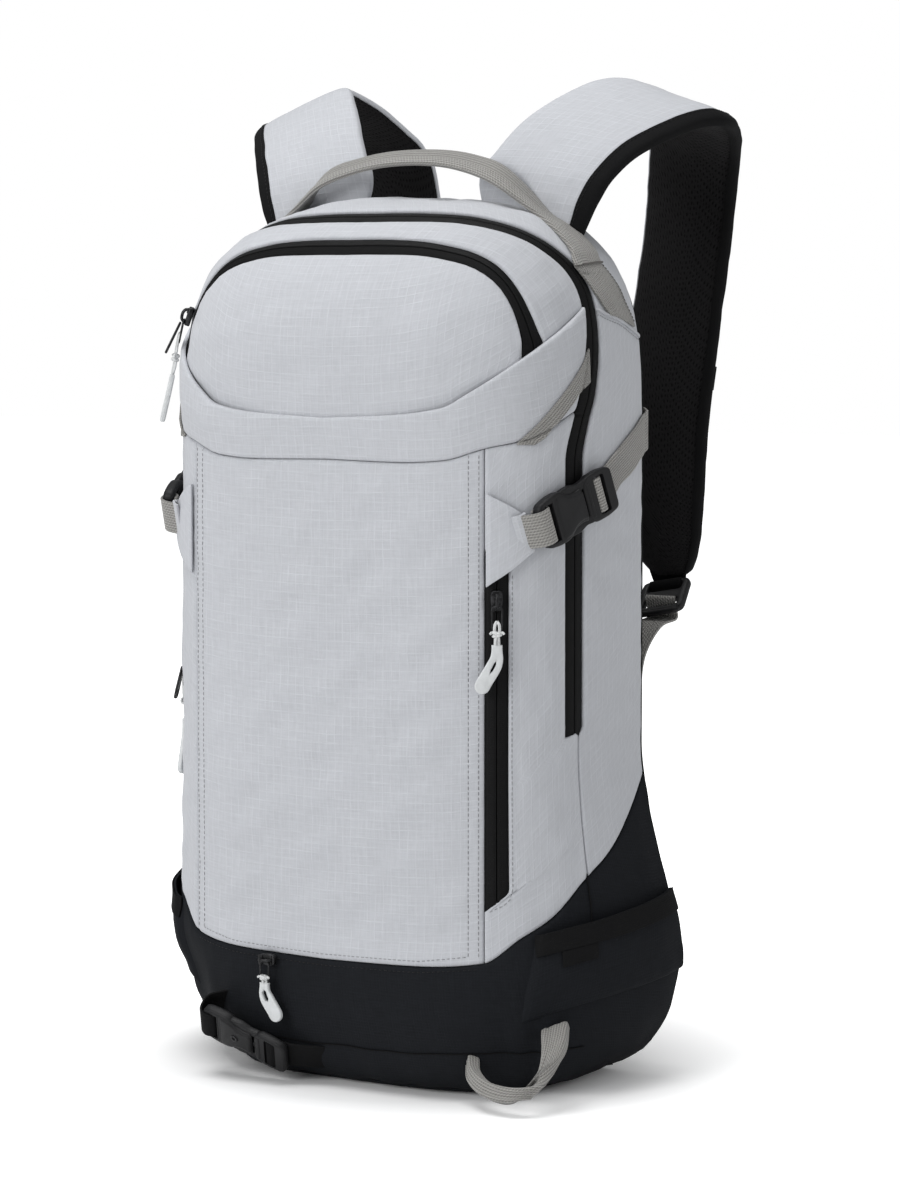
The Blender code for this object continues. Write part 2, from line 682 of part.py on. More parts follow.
def compression_straps():
    head, foot = skin(48.0, 0.3310), skin(72.0, 0.3553)
    normal = outward(60, 0.343)
    along = (foot - head).normalized()
    for name, side in (("right", 1), ("left", -1)):
        place = frame_at(head + normal * BUCKLE_LIFT, along, normal)
        ahead = frame_at(head + along * 0.0372 + normal * BUCKLE_LIFT, along, normal)
        if side < 0:
            place, ahead = mirrored(place), mirrored(ahead)
        socket("compression_socket_" + name, place)
        clip("compression_clip_" + name, ahead)

        def tab(u, v, side=side):
            low = through([(39.4, 0.302), (46.7, 0.3135), (48.6, 0.3205)], u)
            high = through([(39.4, 0.3515), (46.2, 0.3402), (48.6, 0.334)], u)
            return skin(side * u, lerp(low, high, v), 0.0024)
        turns = [39.4, 43, 46.5, 48.6]
        sheet("compression_tab_" + name, tab, turns if side > 0 else turns[::-1],
              steps(0, 1, 2), 0.0016, "light_ripstop")

        def rear(u, v, side=side):
            turn, run = lerp(66.5, 89.0, v), lerp(0.3500, 0.3815, v)
            return skin(side * turn, run + u * WEB_WIDTH, 0.0022)
        sheet("compression_webbing_" + name, rear, [-0.5, 0.5] if side < 0 else [0.5, -0.5],
              steps(0, 1, 7), WEBBING, "webbing", 1.0)


def base_strap():
    """Closed buckle of the lower ski strap, on the front-left edge of the base."""
    middle = Vector((-0.0500, -0.0925, 0.0245))
    along = Vector((0.055, 0.0025, -0.0190)).normalized()
    normal = Vector((0, -1, -0.65))
    place = frame_at(middle - along * 0.031, along, normal)
    ahead = frame_at(middle + along * 0.0062, along, normal)
    socket("base_socket", place, 0.036, 0.026, 0.008)
    clip("base_clip", ahead, 0.022, 0.026, 0.022)


# ---- handle, loop and straps ----

def haul_handle():
    """Arched webbing handle above the top."""
    foot = skin(76, 0.4835, 0.0030)
    points = [foot, (0.0925, 0.008, 0.5130), (0.062, 0.0105, 0.5335), (0.020, 0.0145, 0.5440)]
    half = smooth_route([Vector(p) for p in points], 3)
    route = half + [Vector((-p.x, p.y, p.z)) for p in reversed(half)]
    across = [Vector((0, 0.8 * WEB_WIDTH, 0)) for _ in half]
    across += across[::-1]
    ribbon("haul_handle", route, across, 0.003, "webbing")


def ski_loop():
    """Folded webbing loop for a ski tail, low on the right of the base."""
    route = smooth_route([LOOP_ENDS[0], (0.111, -0.0915, 0.0165),
                          (0.131, -0.0955, 0.0145), (0.1465, -0.0880, 0.0155),
                          (0.1520, -0.0740, 0.0245), LOOP_ENDS[1]], 3)
    across = []
    for i in range(len(route)):
        t = i / (len(route) - 1)
        across.append(Vector((0.2 * t, 0.25 * (1 - t), 1)).normalized() * 0.015)
    ribbon("ski_loop", route, across, 0.004, "webbing")


def shoulder_strap(name, side):
    """Padded strap, its ladder lock and the lower webbing."""
    centres = smooth_route([p for p, _, _ in STRAP_ROUTE], 3)
    tilts = smooth_route([(tilt, width, 0) for _, tilt, width in STRAP_ROUTE], 3)
    across = [Vector((cos(radians(t.x)), 0, -sin(radians(t.x)))) * t.y for t in tilts]
    flip = Matrix.Diagonal((side, 1, 1))
    centres = [flip @ p for p in centres]
    across = [flip @ a for a in across]
    ribbon("shoulder_strap_" + name, centres, across, STRAP_THICK, "mesh")
    low = Vector(STRAP_ROUTE[-1][0])
    foot = Vector(STRAP_FOOT)
    lock = low + Vector((0.0030, -0.0150, -0.0135))
    place = frame_at(lock, low - lock, (0, -1, 0.2))
    if side < 0:
        place = mirrored(place)
    shape = rounded_rectangle(0.026, 0.032, 0.004, 3)
    slots = [rounded_rectangle(SLOT_WIDTH, 0.024, 0.001, 2, (x, 0)) for x in (-0.0062, 0.0062)]
    outline("ladder_lock_" + name, [shape] + slots, 0.0046, "plastic", place)
    start = lock + Vector((0.0010, -0.0135, -0.0085))
    route = smooth_route([flip @ p for p in
                          (start, Vector((0.112, 0.082, 0.247)), Vector((0.116, 0.069, 0.220)),
                           Vector((0.121, 0.060, 0.184)), foot)], 3)
    width = [Vector((1, 0, 0)) * WEB_WIDTH for _ in route]
    ribbon("strap_webbing_" + name, route, width, WEBBING, "webbing")


def sternum_straps():
    """Chest strap halves, unclasped, each with its half of the buckle."""
    for name, side in (("right", 1), ("left", -1)):
        low, high = Vector(STRAP_ROUTE[-4][0]), Vector(STRAP_ROUTE[-5][0])
        rise = (high - low).normalized()
        normal = Vector((1, 0, 0)).cross(rise).normalized()
        normal = -normal if normal.y < 0 else normal
        level = lerp(low, high, 0.25) + normal * (STRAP_THICK / 2 + 0.0028)
        y, z = level.y, level.z
        place = frame_at((side * 0.104, y, z), (1, 0, 0), normal)
        tip = 0.054
        shape = [(-side * tip, -0.0075), (side * 0.030, -0.0075), (side * 0.030, 0.0075),
                 (-side * tip, 0.0075)]
        outline("sternum_webbing_" + name, [shape if side < 0 else shape[::-1]], WEBBING,
                "webbing", place)
        along = Vector((-side, 0, 0))
        at = Vector((side * (0.104 - tip - 0.0006), y, z))
        if side > 0:
            socket("sternum_socket", frame_at(at, along, normal), 0.030, 0.022, 0.007)
        else:
            turned = frame_at(at + Vector((0.0206, 0, 0)), (-1, 0, 0), normal)
            clip("sternum_clip", turned, 0.020, 0.022, 0.020)


def hip_belt():
    """Hip belt wings folded over the lumbar pad, with a buckle half at each tip."""
    hinge_x, y = HIP_HINGE
    tip_x = 0.058
    for name, side in (("right", 1), ("left", -1)):
        low, high = 0.052, 0.122
        shape = [(hinge_x, low), (hinge_x, high), (0.100, high - 0.004), (tip_x, 0.099),
                 (tip_x, 0.073), (0.100, low + 0.002)]
        shape = [(side * x, z) for x, z in shape]
        outline("hip_wing_" + name, [shape if side < 0 else shape[::-1]], 0.008, "mesh",
                upright(y), 0.002)
        at = Vector((side * (tip_x - 0.001), y, 0.086))
        if side > 0:
            socket("hip_socket", frame_at(at, (-1, 0, 0), (0, 1, 0)), 0.040, 0.036, 0.008)
        else:
            turned = frame_at(at + Vector((0.0268, 0, 0)), (-1, 0, 0), (0, 1, 0))
            clip("hip_clip", turned, 0.024, 0.036, 0.026)


def swing(name, place, parts):
    """Put parts under an empty that marks their joint's axis."""
    axis = bpy.data.objects.new(name, None)
    PARTS.objects.link(axis)
    axis.empty_display_size = 0.02
    axis.location = place
    bpy.context.view_layer.update()
    for part in parts:
        child = bpy.data.objects[part]
        child.parent = axis
        child.matrix_parent_inverse = axis.matrix_world.inverted()


def joints():
    """Empties on the axes of the pieces whose own origins lie elsewhere."""
    swing("lid_fold", (0, FRONT_Y, 0.3675),
          ("yoke_panel", "goggle_panel", "goggle_zip_tape", "top_panel",
           "main_zip_tape_lid", "goggle_slider", "goggle_pull"))
    swing("handle_fold", (0, *skin(76, 0.4835, 0.003).yz), ("haul_handle",))
    swing("loop_fold", LOOP_ENDS[0], ("ski_loop",))
    for name, side in (("right", 1), ("left", -1)):
        swing("strap_swing_" + name, (side * STRAP_TOP[0], *STRAP_TOP[1:]),
              [stem + name for stem in ("shoulder_strap_", "ladder_lock_", "strap_webbing_",
                                        "sternum_webbing_")]
              + ["sternum_socket" if side > 0 else "sternum_clip"])
        swing("hip_fold_" + name, (side * HIP_HINGE[0], HIP_HINGE[1], 0.087),
              ["hip_wing_" + name, "hip_socket" if side > 0 else "hip_clip"])


base()
front_panel()
front_zip(side_panel("side_panel_right", 1))
side_panel("side_panel_left", -1)
gusset()
main_zip()
lid_panels()
back()
inside()
zips()
compression_straps()
base_strap()
haul_handle()
ski_loop()
shoulder_strap("right", 1)
shoulder_strap("left", -1)
sternum_straps()
hip_belt()
joints()
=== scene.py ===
"""Looks of the ski backpack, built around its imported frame.

Metres, +Z up, the front faces -Y.  A point of the outer skin is named as in the CAD: by
its turn (degrees, 0 at the front's middle, 90 at the rear edge, positive towards +X) and
its run (metres up the skin from the base, over the arched top).
"""
from math import cos, pi, radians, sin

import bmesh
import bpy
import numpy as np
from mathutils import Matrix, Vector
from mathutils.bvhtree import BVHTree


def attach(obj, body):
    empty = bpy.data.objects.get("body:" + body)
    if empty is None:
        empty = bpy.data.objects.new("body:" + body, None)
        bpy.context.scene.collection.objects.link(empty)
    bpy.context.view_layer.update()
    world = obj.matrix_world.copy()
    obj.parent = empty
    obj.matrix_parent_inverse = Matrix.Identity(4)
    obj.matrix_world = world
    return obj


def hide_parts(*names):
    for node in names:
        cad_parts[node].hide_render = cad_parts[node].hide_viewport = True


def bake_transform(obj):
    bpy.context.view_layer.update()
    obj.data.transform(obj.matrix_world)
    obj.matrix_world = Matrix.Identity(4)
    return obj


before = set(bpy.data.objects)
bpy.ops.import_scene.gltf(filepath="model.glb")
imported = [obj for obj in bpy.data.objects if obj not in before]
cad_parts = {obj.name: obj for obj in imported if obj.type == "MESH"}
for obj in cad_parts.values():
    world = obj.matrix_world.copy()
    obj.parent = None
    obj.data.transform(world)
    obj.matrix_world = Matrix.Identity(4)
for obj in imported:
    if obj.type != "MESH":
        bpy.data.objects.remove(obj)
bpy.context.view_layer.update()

# ---- the skin's driving dimensions, as in the CAD ----
FRONT_Y, BACK_Y, HALF_WIDTH = -0.085, 0.046, 0.1385
PLAN_POWER, ARCH_POWER = 3.6, 3.1
SPINE_TOP, ARCH_HEIGHT, ARCH_RUN, TOP_LEAN = 0.385, 0.134, 0.21, 0.010
RUN_TOP = SPINE_TOP + ARCH_RUN
SIDE_FLARE = [(0, -0.012), (0.006, -0.002), (0.02, 0.010), (0.045, 0.019), (0.075, 0.023),
              (0.105, 0.020), (0.135, 0.012), (0.165, 0.0045), (0.20, 0), (0.385, 0)]
SKIRT = [(0, -0.026), (0.006, -0.014), (0.02, -0.004), (0.045, 0.003), (0.07, 0.004),
         (0.095, 0.001), (0.12, 0), (0.385, 0)]
UNDERCUT = [(0, 0.016), (0.025, 0.015), (0.055, 0.010), (0.085, 0.0025), (0.11, 0), (0.385, 0)]

# seam lines: (turn, height) or (run, turn)
BASE_LINE = [(0, 0.0767), (25, 0.0782), (38.7, 0.0818), (46, 0.0953), (52, 0.1054),
             (61, 0.127), (67, 0.1366), (73, 0.147), (83, 0.166), (90, 0.181)]
YOKE_LOW = [(0, 0.3683), (21, 0.3675), (30, 0.369), (39, 0.376), (47, 0.3805),
            (54, 0.388), (60, 0.3956), (70, 0.401)]
YOKE_HIGH = [(0, 0.3925), (20, 0.395), (30, 0.399), (36, 0.408), (47, 0.427),
             (53, 0.437), (70, 0.463)]
ZIP_LINE = [(0.20, 60.3), (0.368, 60.2), (0.39, 62.3), (0.405, 64.8), (0.441, 67.8),
            (0.459, 68.4), (0.471, 67.4), (0.487, 64), (0.5055, 60), (0.523, 57),
            (0.558, 54), (0.595, 53.5)]
GOGGLE_INNER = [(0.40, 46.6), (0.431, 47.1), (0.4424, 47.5), (0.4572, 47.3), (0.475, 46.7),
                (0.494, 45.2), (0.5187, 42.8), (0.5627, 41.0), (0.595, 40.8)]
GOGGLE_OUTER = [(0.40, 54), (0.437, 52.4), (0.4438, 51.6), (0.4565, 50.6), (0.4714, 49.8),
                (0.4888, 48.9), (0.5023, 47.8), (0.5267, 45.9), (0.5603, 45.1), (0.595, 44.9)]
GOGGLE_LINE = [(0.40, 46.8), (0.4385, 48.6), (0.484, 48.6), (0.507, 47.2), (0.532, 44.8),
               (0.595, 43)]
PANEL_SEAM, GUSSET_SEAM = 38.9, 61.4     # turns of the upright seams beside the front and side
LID_SPLIT = 0.3945        # run where the main zip passes from the pack to the lid
ZIP_HALF = 2.8            # half the main zip's visible band, in degrees of turn
GOGGLE_ZIP_TURN = 3.4     # the goggle zip's width in the CAD
FRONT_ZIP_REAR = 43.9     # rear edge of the front zip's opening, in degrees of turn

FABRIC = 0.0012           # thickness of a fabric layer
WEBBING = 0.0014
SIDES = (("right", 1), ("left", -1))
COMPRESSION_WIDTH, BASE_STRAP_WIDTH, STERNUM_WIDTH = 0.0205, 0.0185, 0.0150
HALVINGS = 30             # steps when a place on the skin is searched for
SHARP_EDGE = radians(42)  # edges bent more than this stay sharp
POCKET_TOP = [(44, 0.0945), (57, 0.1018), (90, 0.1134)]


# ---- curves and the skin, on arrays ----

def through(table, x):
    """Smooth curve through a table's points, without overshoot."""
    xs, ys = np.array(table, float).T
    x = np.clip(np.asarray(x, float), xs[0], xs[-1])
    k = np.clip(np.searchsorted(xs, x, side="right") - 1, 0, len(xs) - 2)
    grade = np.diff(ys) / np.diff(xs)
    before, after = grade[:-1], grade[1:]
    total = np.where(before + after == 0, 1, before + after)
    inner = np.where(before * after > 0, 2 * before * after / total, 0)
    slope = np.concatenate([grade[:1], inner, grade[-1:]])
    span = xs[k + 1] - xs[k]
    t = (x - xs[k]) / span
    return ((2 * t**3 - 3 * t**2 + 1) * ys[k] + (t**3 - 2 * t**2 + t) * slope[k] * span
            + (-2 * t**3 + 3 * t**2) * ys[k + 1] + (t**3 - t**2) * slope[k + 1] * span)


def ease(x, low, high):
    t = np.clip((x - low) / (high - low), 0, 1)
    return t * t * (3 - 2 * t)


def lerp(a, b, t):
    return a + (b - a) * t


def plan(turn):
    across, fore = abs(np.sin(np.radians(turn))), abs(np.cos(np.radians(turn)))
    k = (across**PLAN_POWER + fore**PLAN_POWER) ** (-1 / PLAN_POWER)
    return across * k, fore * k


def arch_radius(lean):
    across, up = np.cos(lean) / HALF_WIDTH, np.sin(lean) / ARCH_HEIGHT
    return (across**ARCH_POWER + up**ARCH_POWER) ** (-1 / ARCH_POWER)


def fold_over(turn, run):
    """Runs beyond the top come down the other side."""
    turn, run = np.broadcast_arrays(np.asarray(turn, float), np.asarray(run, float))
    over = run > RUN_TOP
    return np.where(over, -turn, turn), np.where(over, 2 * RUN_TOP - run, run)


def surface(turn, run):
    """Points of the skin, as an array of XYZ."""
    turn, run = fold_over(turn, run)
    out, fore = plan(turn)
    side = np.where(turn < 0, -1.0, 1.0)
    depth = BACK_Y - FRONT_Y
    skirt = through(SKIRT, run)
    flare = through(SIDE_FLARE, run) * ease(abs(turn), 38, 86)
    lean = np.clip((run - SPINE_TOP) / ARCH_RUN, 0, 1) * pi / 2 * 0.999999
    r = out * arch_radius(lean)
    rise = r * np.sin(lean) / ARCH_HEIGHT
    low = run <= SPINE_TOP
    x = np.where(low, out * (HALF_WIDTH + 0.8 * skirt) + flare, r * np.cos(lean))
    y = np.where(low, BACK_Y - fore * (depth + skirt),
                 BACK_Y - fore * (depth - TOP_LEAN * rise * rise))
    z = np.where(low, run, SPINE_TOP + r * np.sin(lean))
    # the left front corner is drawn up over the base buckle
    cut = np.where(low, through(UNDERCUT, run), 0) * ease(-turn, 20, 46) * (1 - ease(-turn, 78, 89))
    return np.stack([side * x + 0.8 * cut, y + 0.6 * cut, z], -1)


def outward(turn, run):
    turn, run = fold_over(turn, run)
    run = np.clip(run, 0.001, RUN_TOP - 0.002)
    along = surface(turn + 0.4, run) - surface(turn - 0.4, run)
    up = surface(turn, run + 0.001) - surface(turn, run - 0.001)
    normal = np.cross(along, up)
    return normal / np.linalg.norm(normal, axis=-1, keepdims=True)


def skin(turn, run, lift=0.0):
    return surface(turn, run) + outward(turn, run) * np.asarray(lift)[..., None]


def spot(turn, run, lift=0.0):
    """One point of the skin, as a Vector."""
    return Vector(skin(float(turn), float(run), float(lift)))


def search(low, high, short):
    """The largest values from low to high that still fall short."""
    for _ in range(HALVINGS):
        middle = (low + high) / 2
        below = short(middle)
        low, high = np.where(below, middle, low), np.where(below, high, middle)
    return low


def run_at(turn, z):
    """Run of the skin points at a turn and a height."""
    turn, z = np.broadcast_arrays(np.asarray(turn, float), np.asarray(z, float))
    found = search(np.full(z.shape, SPINE_TOP), np.full(z.shape, RUN_TOP),
                   lambda run: surface(turn, run)[..., 2] < z)
    return np.where(z <= SPINE_TOP, z, found)


def on_front(x, z):
    """Points of the front skin at an x and a height."""
    x, z = np.broadcast_arrays(np.asarray(x, float), np.asarray(z, float))
    above = z > SPINE_TOP
    rise = np.where(above, z - SPINE_TOP, 0)
    lean = np.arctan2(rise, np.maximum(abs(x), 1e-9)) * above
    run = np.where(above, SPINE_TOP + ARCH_RUN * lean / (pi / 2), z)
    reach = np.where(above, np.hypot(x, rise), abs(x))

    def short(turn):
        return np.where(above, plan(turn)[0] * arch_radius(lean),
                        surface(turn, np.minimum(z, SPINE_TOP))[..., 0]) < reach
    turn = search(np.zeros(z.shape), np.full(z.shape, 90.0), short)
    return surface(np.where(x < 0, -turn, turn), run)


def at_height(turn, z):
    """Points of the skin at a turn and a height; the middle of the front has one too."""
    side = surface(turn, run_at(turn, z))
    inner = ease(abs(turn), 20, 36)
    x = lerp(surface(turn, SPINE_TOP)[..., 0], side[..., 0], inner)
    return np.where((inner == 1)[..., None], side, on_front(x, z))


def over_top(table):
    """Turn by run along a line that comes down the other side as it went up."""
    return lambda run: through(table, np.minimum(run, 2 * RUN_TOP - run))


# the main zip, the goggle zip as its slider runs in the CAD, and its two visible edges
zip_turn, goggle_turn, goggle_inner, goggle_outer = map(
    over_top, (ZIP_LINE, GOGGLE_LINE, GOGGLE_INNER, GOGGLE_OUTER))


def ripple(points, scale, seed, waves=7):
    """Soft folds about scale metres long, from -1 to 1, the same each run."""
    rng = np.random.default_rng(seed)
    total = np.zeros(points.shape[:-1])
    for _ in range(waves):
        direction = rng.normal(size=3)
        direction *= rng.uniform(0.6, 1.5) / scale / np.linalg.norm(direction)
        total = total + np.sin(points @ direction * 2 * pi + rng.uniform(0, 2 * pi))
    return total / waves**0.5


# ---- materials ----

class Shader:
    """A node material, written as calls."""

    def __init__(self, name, colour, roughness, metallic=0.0, sheen=0.0, coat=0.0, specular=0.5):
        self.material = bpy.data.materials.new(name)
        self.material.use_nodes = True
        self.tree = self.material.node_tree
        self.end = self.tree.nodes["Principled BSDF"]
        self.end.inputs["Base Color"].default_value = (*colour, 1)
        self.end.inputs["Roughness"].default_value = roughness
        self.end.inputs["Metallic"].default_value = metallic
        self.end.inputs["Sheen Weight"].default_value = sheen
        self.end.inputs["Sheen Roughness"].default_value = 0.5
        self.end.inputs["Coat Weight"].default_value = coat
        self.end.inputs["Specular IOR Level"].default_value = specular
        self.cloth = self.add("ShaderNodeUVMap", uv_map="cloth").outputs[0]
        self.place = self.add("ShaderNodeTexCoord").outputs["Object"]
        self.height = None

    def add(self, kind, *values, **settings):
        made = self.tree.nodes.new(kind)
        for key, value in settings.items():
            setattr(made, key, value)
        for socket, value in zip(made.inputs, values):
            self.put(socket, value)
        return made

    def put(self, socket, value):
        if value is None:
            return
        if isinstance(value, bpy.types.NodeSocket):
            self.tree.links.new(value, socket)
        else:
            socket.default_value = value

    def math(self, operation, *values):
        return self.add("ShaderNodeMath", *values, operation=operation).outputs[0]

    def scaled(self, vector, scale, turn=0.0):
        return self.add("ShaderNodeMapping", vector, None, (0, 0, turn), scale).outputs[0]

    def noise(self, vector, scale, detail=3.0, roughness=0.55):
        made = self.add("ShaderNodeTexNoise")
        self.put(made.inputs["Vector"], vector)
        made.inputs["Scale"].default_value = scale
        made.inputs["Detail"].default_value = detail
        made.inputs["Roughness"].default_value = roughness
        return made.outputs["Fac"]

    def bands(self, vector, period, axis="X", profile="SIN"):
        """Waves from 0 to 1 with a period in metres."""
        made = self.add("ShaderNodeTexWave", bands_direction=axis, wave_profile=profile)
        self.put(made.inputs["Vector"], vector)
        made.inputs["Scale"].default_value = 2 * pi / (20 * period)
        return made.outputs["Fac"]

    def ramp(self, value, low, high, from_value=0.0, to_value=1.0):
        made = self.add("ShaderNodeMapRange", value, low, high, from_value, to_value)
        return made.outputs[0]

    def tint(self, colour, share, amount):
        """The base colour, lightened and darkened by share (0 to 1, 0.5 neutral)."""
        low = [c * (1 - amount) for c in colour] + [1]
        high = [min(1, c * (1 + amount)) for c in colour] + [1]
        made = self.add("ShaderNodeMix", data_type="RGBA")
        self.put(made.inputs[0], share)
        made.inputs[6].default_value = low
        made.inputs[7].default_value = high
        self.put(self.end.inputs["Base Color"], made.outputs[2])

    def bump(self, height, distance, strength=1.0):
        made = self.add("ShaderNodeBump")
        made.inputs["Strength"].default_value = strength
        made.inputs["Distance"].default_value = distance
        self.put(made.inputs["Height"], height)
        if self.height is not None:
            self.put(made.inputs["Normal"], self.height)
        self.height = made.outputs[0]
        self.put(self.end.inputs["Normal"], self.height)

    def rough(self, value, low, high):
        self.put(self.end.inputs["Roughness"], self.ramp(value, 0, 1, low, high))


def ripstop(name, colour, amount=0.12, grid=0.0054, roughness=0.7, sheen=0.2, specular=0.3,
            on_cad=False):
    """Plain weave with uneven threads and a thicker thread every few millimetres."""
    s = Shader(name, colour, roughness, sheen=sheen, specular=specular)
    if on_cad:                # a CAD piece has no UVs, and faces front or rear
        s.cloth = s.add("ShaderNodeMapping", s.place, None, (pi / 2, 0, 0)).outputs[0]
    threads_x = s.noise(s.scaled(s.cloth, (1100, 70, 1)), 1, 3, 0.7)
    threads_y = s.noise(s.scaled(s.cloth, (70, 1100, 1)), 1, 3, 0.7)
    threads = s.math("MULTIPLY", s.math("ADD", threads_x, threads_y), 0.5)
    strong_x = s.ramp(s.bands(s.cloth, grid, "X"), 0.93, 1.0)
    strong_y = s.ramp(s.bands(s.cloth, grid, "Y"), 0.93, 1.0)
    patchy = s.ramp(s.noise(s.cloth, 60, 2), 0.35, 0.7, 0.2, 1.0)
    lines = s.math("MULTIPLY", s.math("MAXIMUM", strong_x, strong_y), patchy)
    mottle = s.noise(s.place, 9, 3)
    share = s.math("ADD", s.ramp(threads, 0.36, 0.64, 0.0, 0.62), s.math("MULTIPLY", mottle, 0.38))
    share = s.math("ADD", share, s.math("MULTIPLY", lines, 0.55))
    s.tint(colour, share, amount)
    s.bump(s.math("ADD", s.math("MULTIPLY", threads, 0.6), lines), 0.00022, 0.55)
    s.rough(threads, roughness - 0.1, roughness + 0.12)
    return s.material


def webbing_look(name, colour, rib=0.0017, along=0.0016):
    """Ribs along the webbing, each with its own row of picks."""
    s = Shader(name, colour, 0.72, sheen=0.3, specular=0.3)
    ribs = s.bands(s.cloth, rib, "Y")
    skewed = s.scaled(s.cloth, (1, 1, 1), radians(38))
    picks = s.bands(skewed, along, "X")
    weave = s.math("ADD", s.math("MULTIPLY", ribs, 0.65), s.math("MULTIPLY", picks, 0.35))
    fuzz = s.noise(s.cloth, 900, 2)
    share = s.math("ADD", s.math("MULTIPLY", weave, 0.7), s.math("MULTIPLY", fuzz, 0.3))
    s.tint(colour, share, 0.62)
    s.bump(weave, 0.0007, 1.0)
    return s.material


def mesh_look(name, colour, cell=0.0034):
    """Spacer mesh: staggered round openings in a knitted face."""
    s = Shader(name, colour, 0.9, sheen=0.03, specular=0.14)
    across = s.bands(s.cloth, cell, "X")
    up = s.bands(s.cloth, cell * 0.62, "Y")
    lean_a = s.bands(s.scaled(s.cloth, (1, 1, 1), radians(60)), cell * 0.87, "X")
    holes = s.math("MULTIPLY", s.math("MULTIPLY", across, up), lean_a)
    knit = s.noise(s.cloth, 1500, 2)
    share = s.ramp(s.math("ADD", holes, s.math("MULTIPLY", knit, 0.35)), 0.05, 0.75, 1, 0)
    s.tint(colour, share, 0.75)
    s.bump(share, 0.0006, 0.7)
    return s.material


def tape_look(name, colour):
    """Zip tape: fine herringbone with a smooth coating."""
    s = Shader(name, colour, 0.5, specular=0.10)
    left = s.bands(s.scaled(s.cloth, (1, 1, 1), radians(35)), 0.0009, "X")
    cross = s.bands(s.cloth, 0.0011, "X")
    weave = s.math("ADD", s.math("MULTIPLY", left, 0.5), s.math("MULTIPLY", cross, 0.5))
    s.tint(colour, s.math("ADD", s.math("MULTIPLY", weave, 0.5),
                          s.math("MULTIPLY", s.noise(s.cloth, 300, 3), 0.5)), 0.4)
    s.bump(weave, 0.0002, 0.6)
    s.rough(s.noise(s.cloth, 120, 3), 0.42, 0.62)
    return s.material


def plastic_look(name, colour, roughness=0.42, grain=0.00012):
    """Moulded plastic with fine spark-eroded grain, scuffed lighter here and there."""
    s = Shader(name, colour, roughness, specular=0.22)
    grainy = s.noise(s.place, 2600, 2)
    scuffs = s.noise(s.place, 85, 6, 0.7)
    s.tint(colour, s.ramp(scuffs, 0.3, 0.75), 0.25)
    s.bump(grainy, grain, 0.35)
    s.rough(scuffs, roughness - 0.08, roughness + 0.14)
    return s.material


def rubber_look(name, colour):
    """Off-white moulded rubber with faint grey handling marks."""
    s = Shader(name, colour, 0.48, specular=0.4)
    s.end.inputs["Subsurface Weight"].default_value = 0.15
    s.end.inputs["Subsurface Radius"].default_value = (0.002, 0.002, 0.002)
    marks = s.noise(s.place, 240, 4, 0.65)
    s.tint(colour, s.ramp(marks, 0.3, 0.62), 0.06)
    s.bump(s.noise(s.place, 1800, 2), 0.00008, 0.3)
    s.rough(marks, 0.4, 0.6)
    return s.material


def thread_look(name, colour):
    s = Shader(name, colour, 0.6, sheen=0.04, specular=0.2)
    twist = s.bands(s.scaled(s.place, (1, 1, 1), radians(45)), 0.0006, "X")
    s.tint(colour, twist, 0.2)
    s.bump(twist, 0.0001, 0.5)
    return s.material


def metal_look(name, colour, roughness=0.35):
    """Lacquered zinc casting, worn where it rubs."""
    s = Shader(name, colour, roughness, metallic=0.85)
    wear = s.noise(s.place, 420, 5, 0.7)
    s.tint(colour, s.ramp(wear, 0.45, 0.75), 0.5)
    s.rough(wear, roughness - 0.1, roughness + 0.2)
    s.bump(s.noise(s.place, 1400, 2), 0.00006, 0.4)
    return s.material


GREY, BLACK, WEB_GREY = (0.466, 0.477, 0.505), (0.0098, 0.0108, 0.0130), (0.275, 0.267, 0.252)
LOOKS = {
    "light_ripstop": ripstop("light_ripstop", GREY),
    "black_fabric": ripstop("black_fabric", BLACK, 0.35, 0.0018, 0.80, 0.0, 0.10),
    "binding": ripstop("binding", (0.0072, 0.0072, 0.0076), 0.3, 0.0012, 0.76, 0.0, 0.08),
    "spacer_mesh": mesh_look("spacer_mesh", (0.011, 0.0105, 0.011)),
    "lining": ripstop("lining", (0.09, 0.09, 0.10), 0.15, 0.003, 0.8),
    "inner_lining": ripstop("inner_lining", (0.09, 0.09, 0.10), 0.15, 0.003, 0.8, on_cad=True),
    "zip_tape": tape_look("zip_tape", (0.0052, 0.0052, 0.0054)),
    "zip_slider": metal_look("zip_slider", (0.045, 0.045, 0.047)),
    "pull_grip": rubber_look("pull_grip", (0.60, 0.615, 0.62)),
    "pull_cord": thread_look("pull_cord", (0.64, 0.65, 0.65)),
    "buckle_plastic": plastic_look("buckle_plastic", (0.0105, 0.0105, 0.0115)),
    "webbing": webbing_look("webbing", WEB_GREY),
    "thread_grey": thread_look("thread_grey", (0.27, 0.275, 0.285)),
    "thread_black": thread_look("thread_black", (0.0045, 0.0045, 0.005)),
    "thread_web": thread_look("thread_web", (0.12, 0.115, 0.108)),
    "frame_plastic": plastic_look("frame_plastic", (0.06, 0.06, 0.06), 0.5),
    "stay_aluminium": metal_look("stay_aluminium", (0.7, 0.7, 0.72), 0.3),
}


# ---- mesh building ----

def settle(made, body=None, replaced=()):
    """A finished piece rides on its body and takes the place of its CAD nodes."""
    if body:
        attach(made, body)
    if replaced:
        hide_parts(*replaced)
    return made


def piece(name, mesh, look, body=None, replaced=()):
    made = bpy.data.objects.new(name, mesh)
    bpy.context.scene.collection.objects.link(made)
    mesh.materials.clear()
    mesh.materials.append(LOOKS[look])
    mesh.shade_smooth()
    mesh.set_sharp_from_angle(angle=SHARP_EDGE)
    return settle(made, body, replaced)


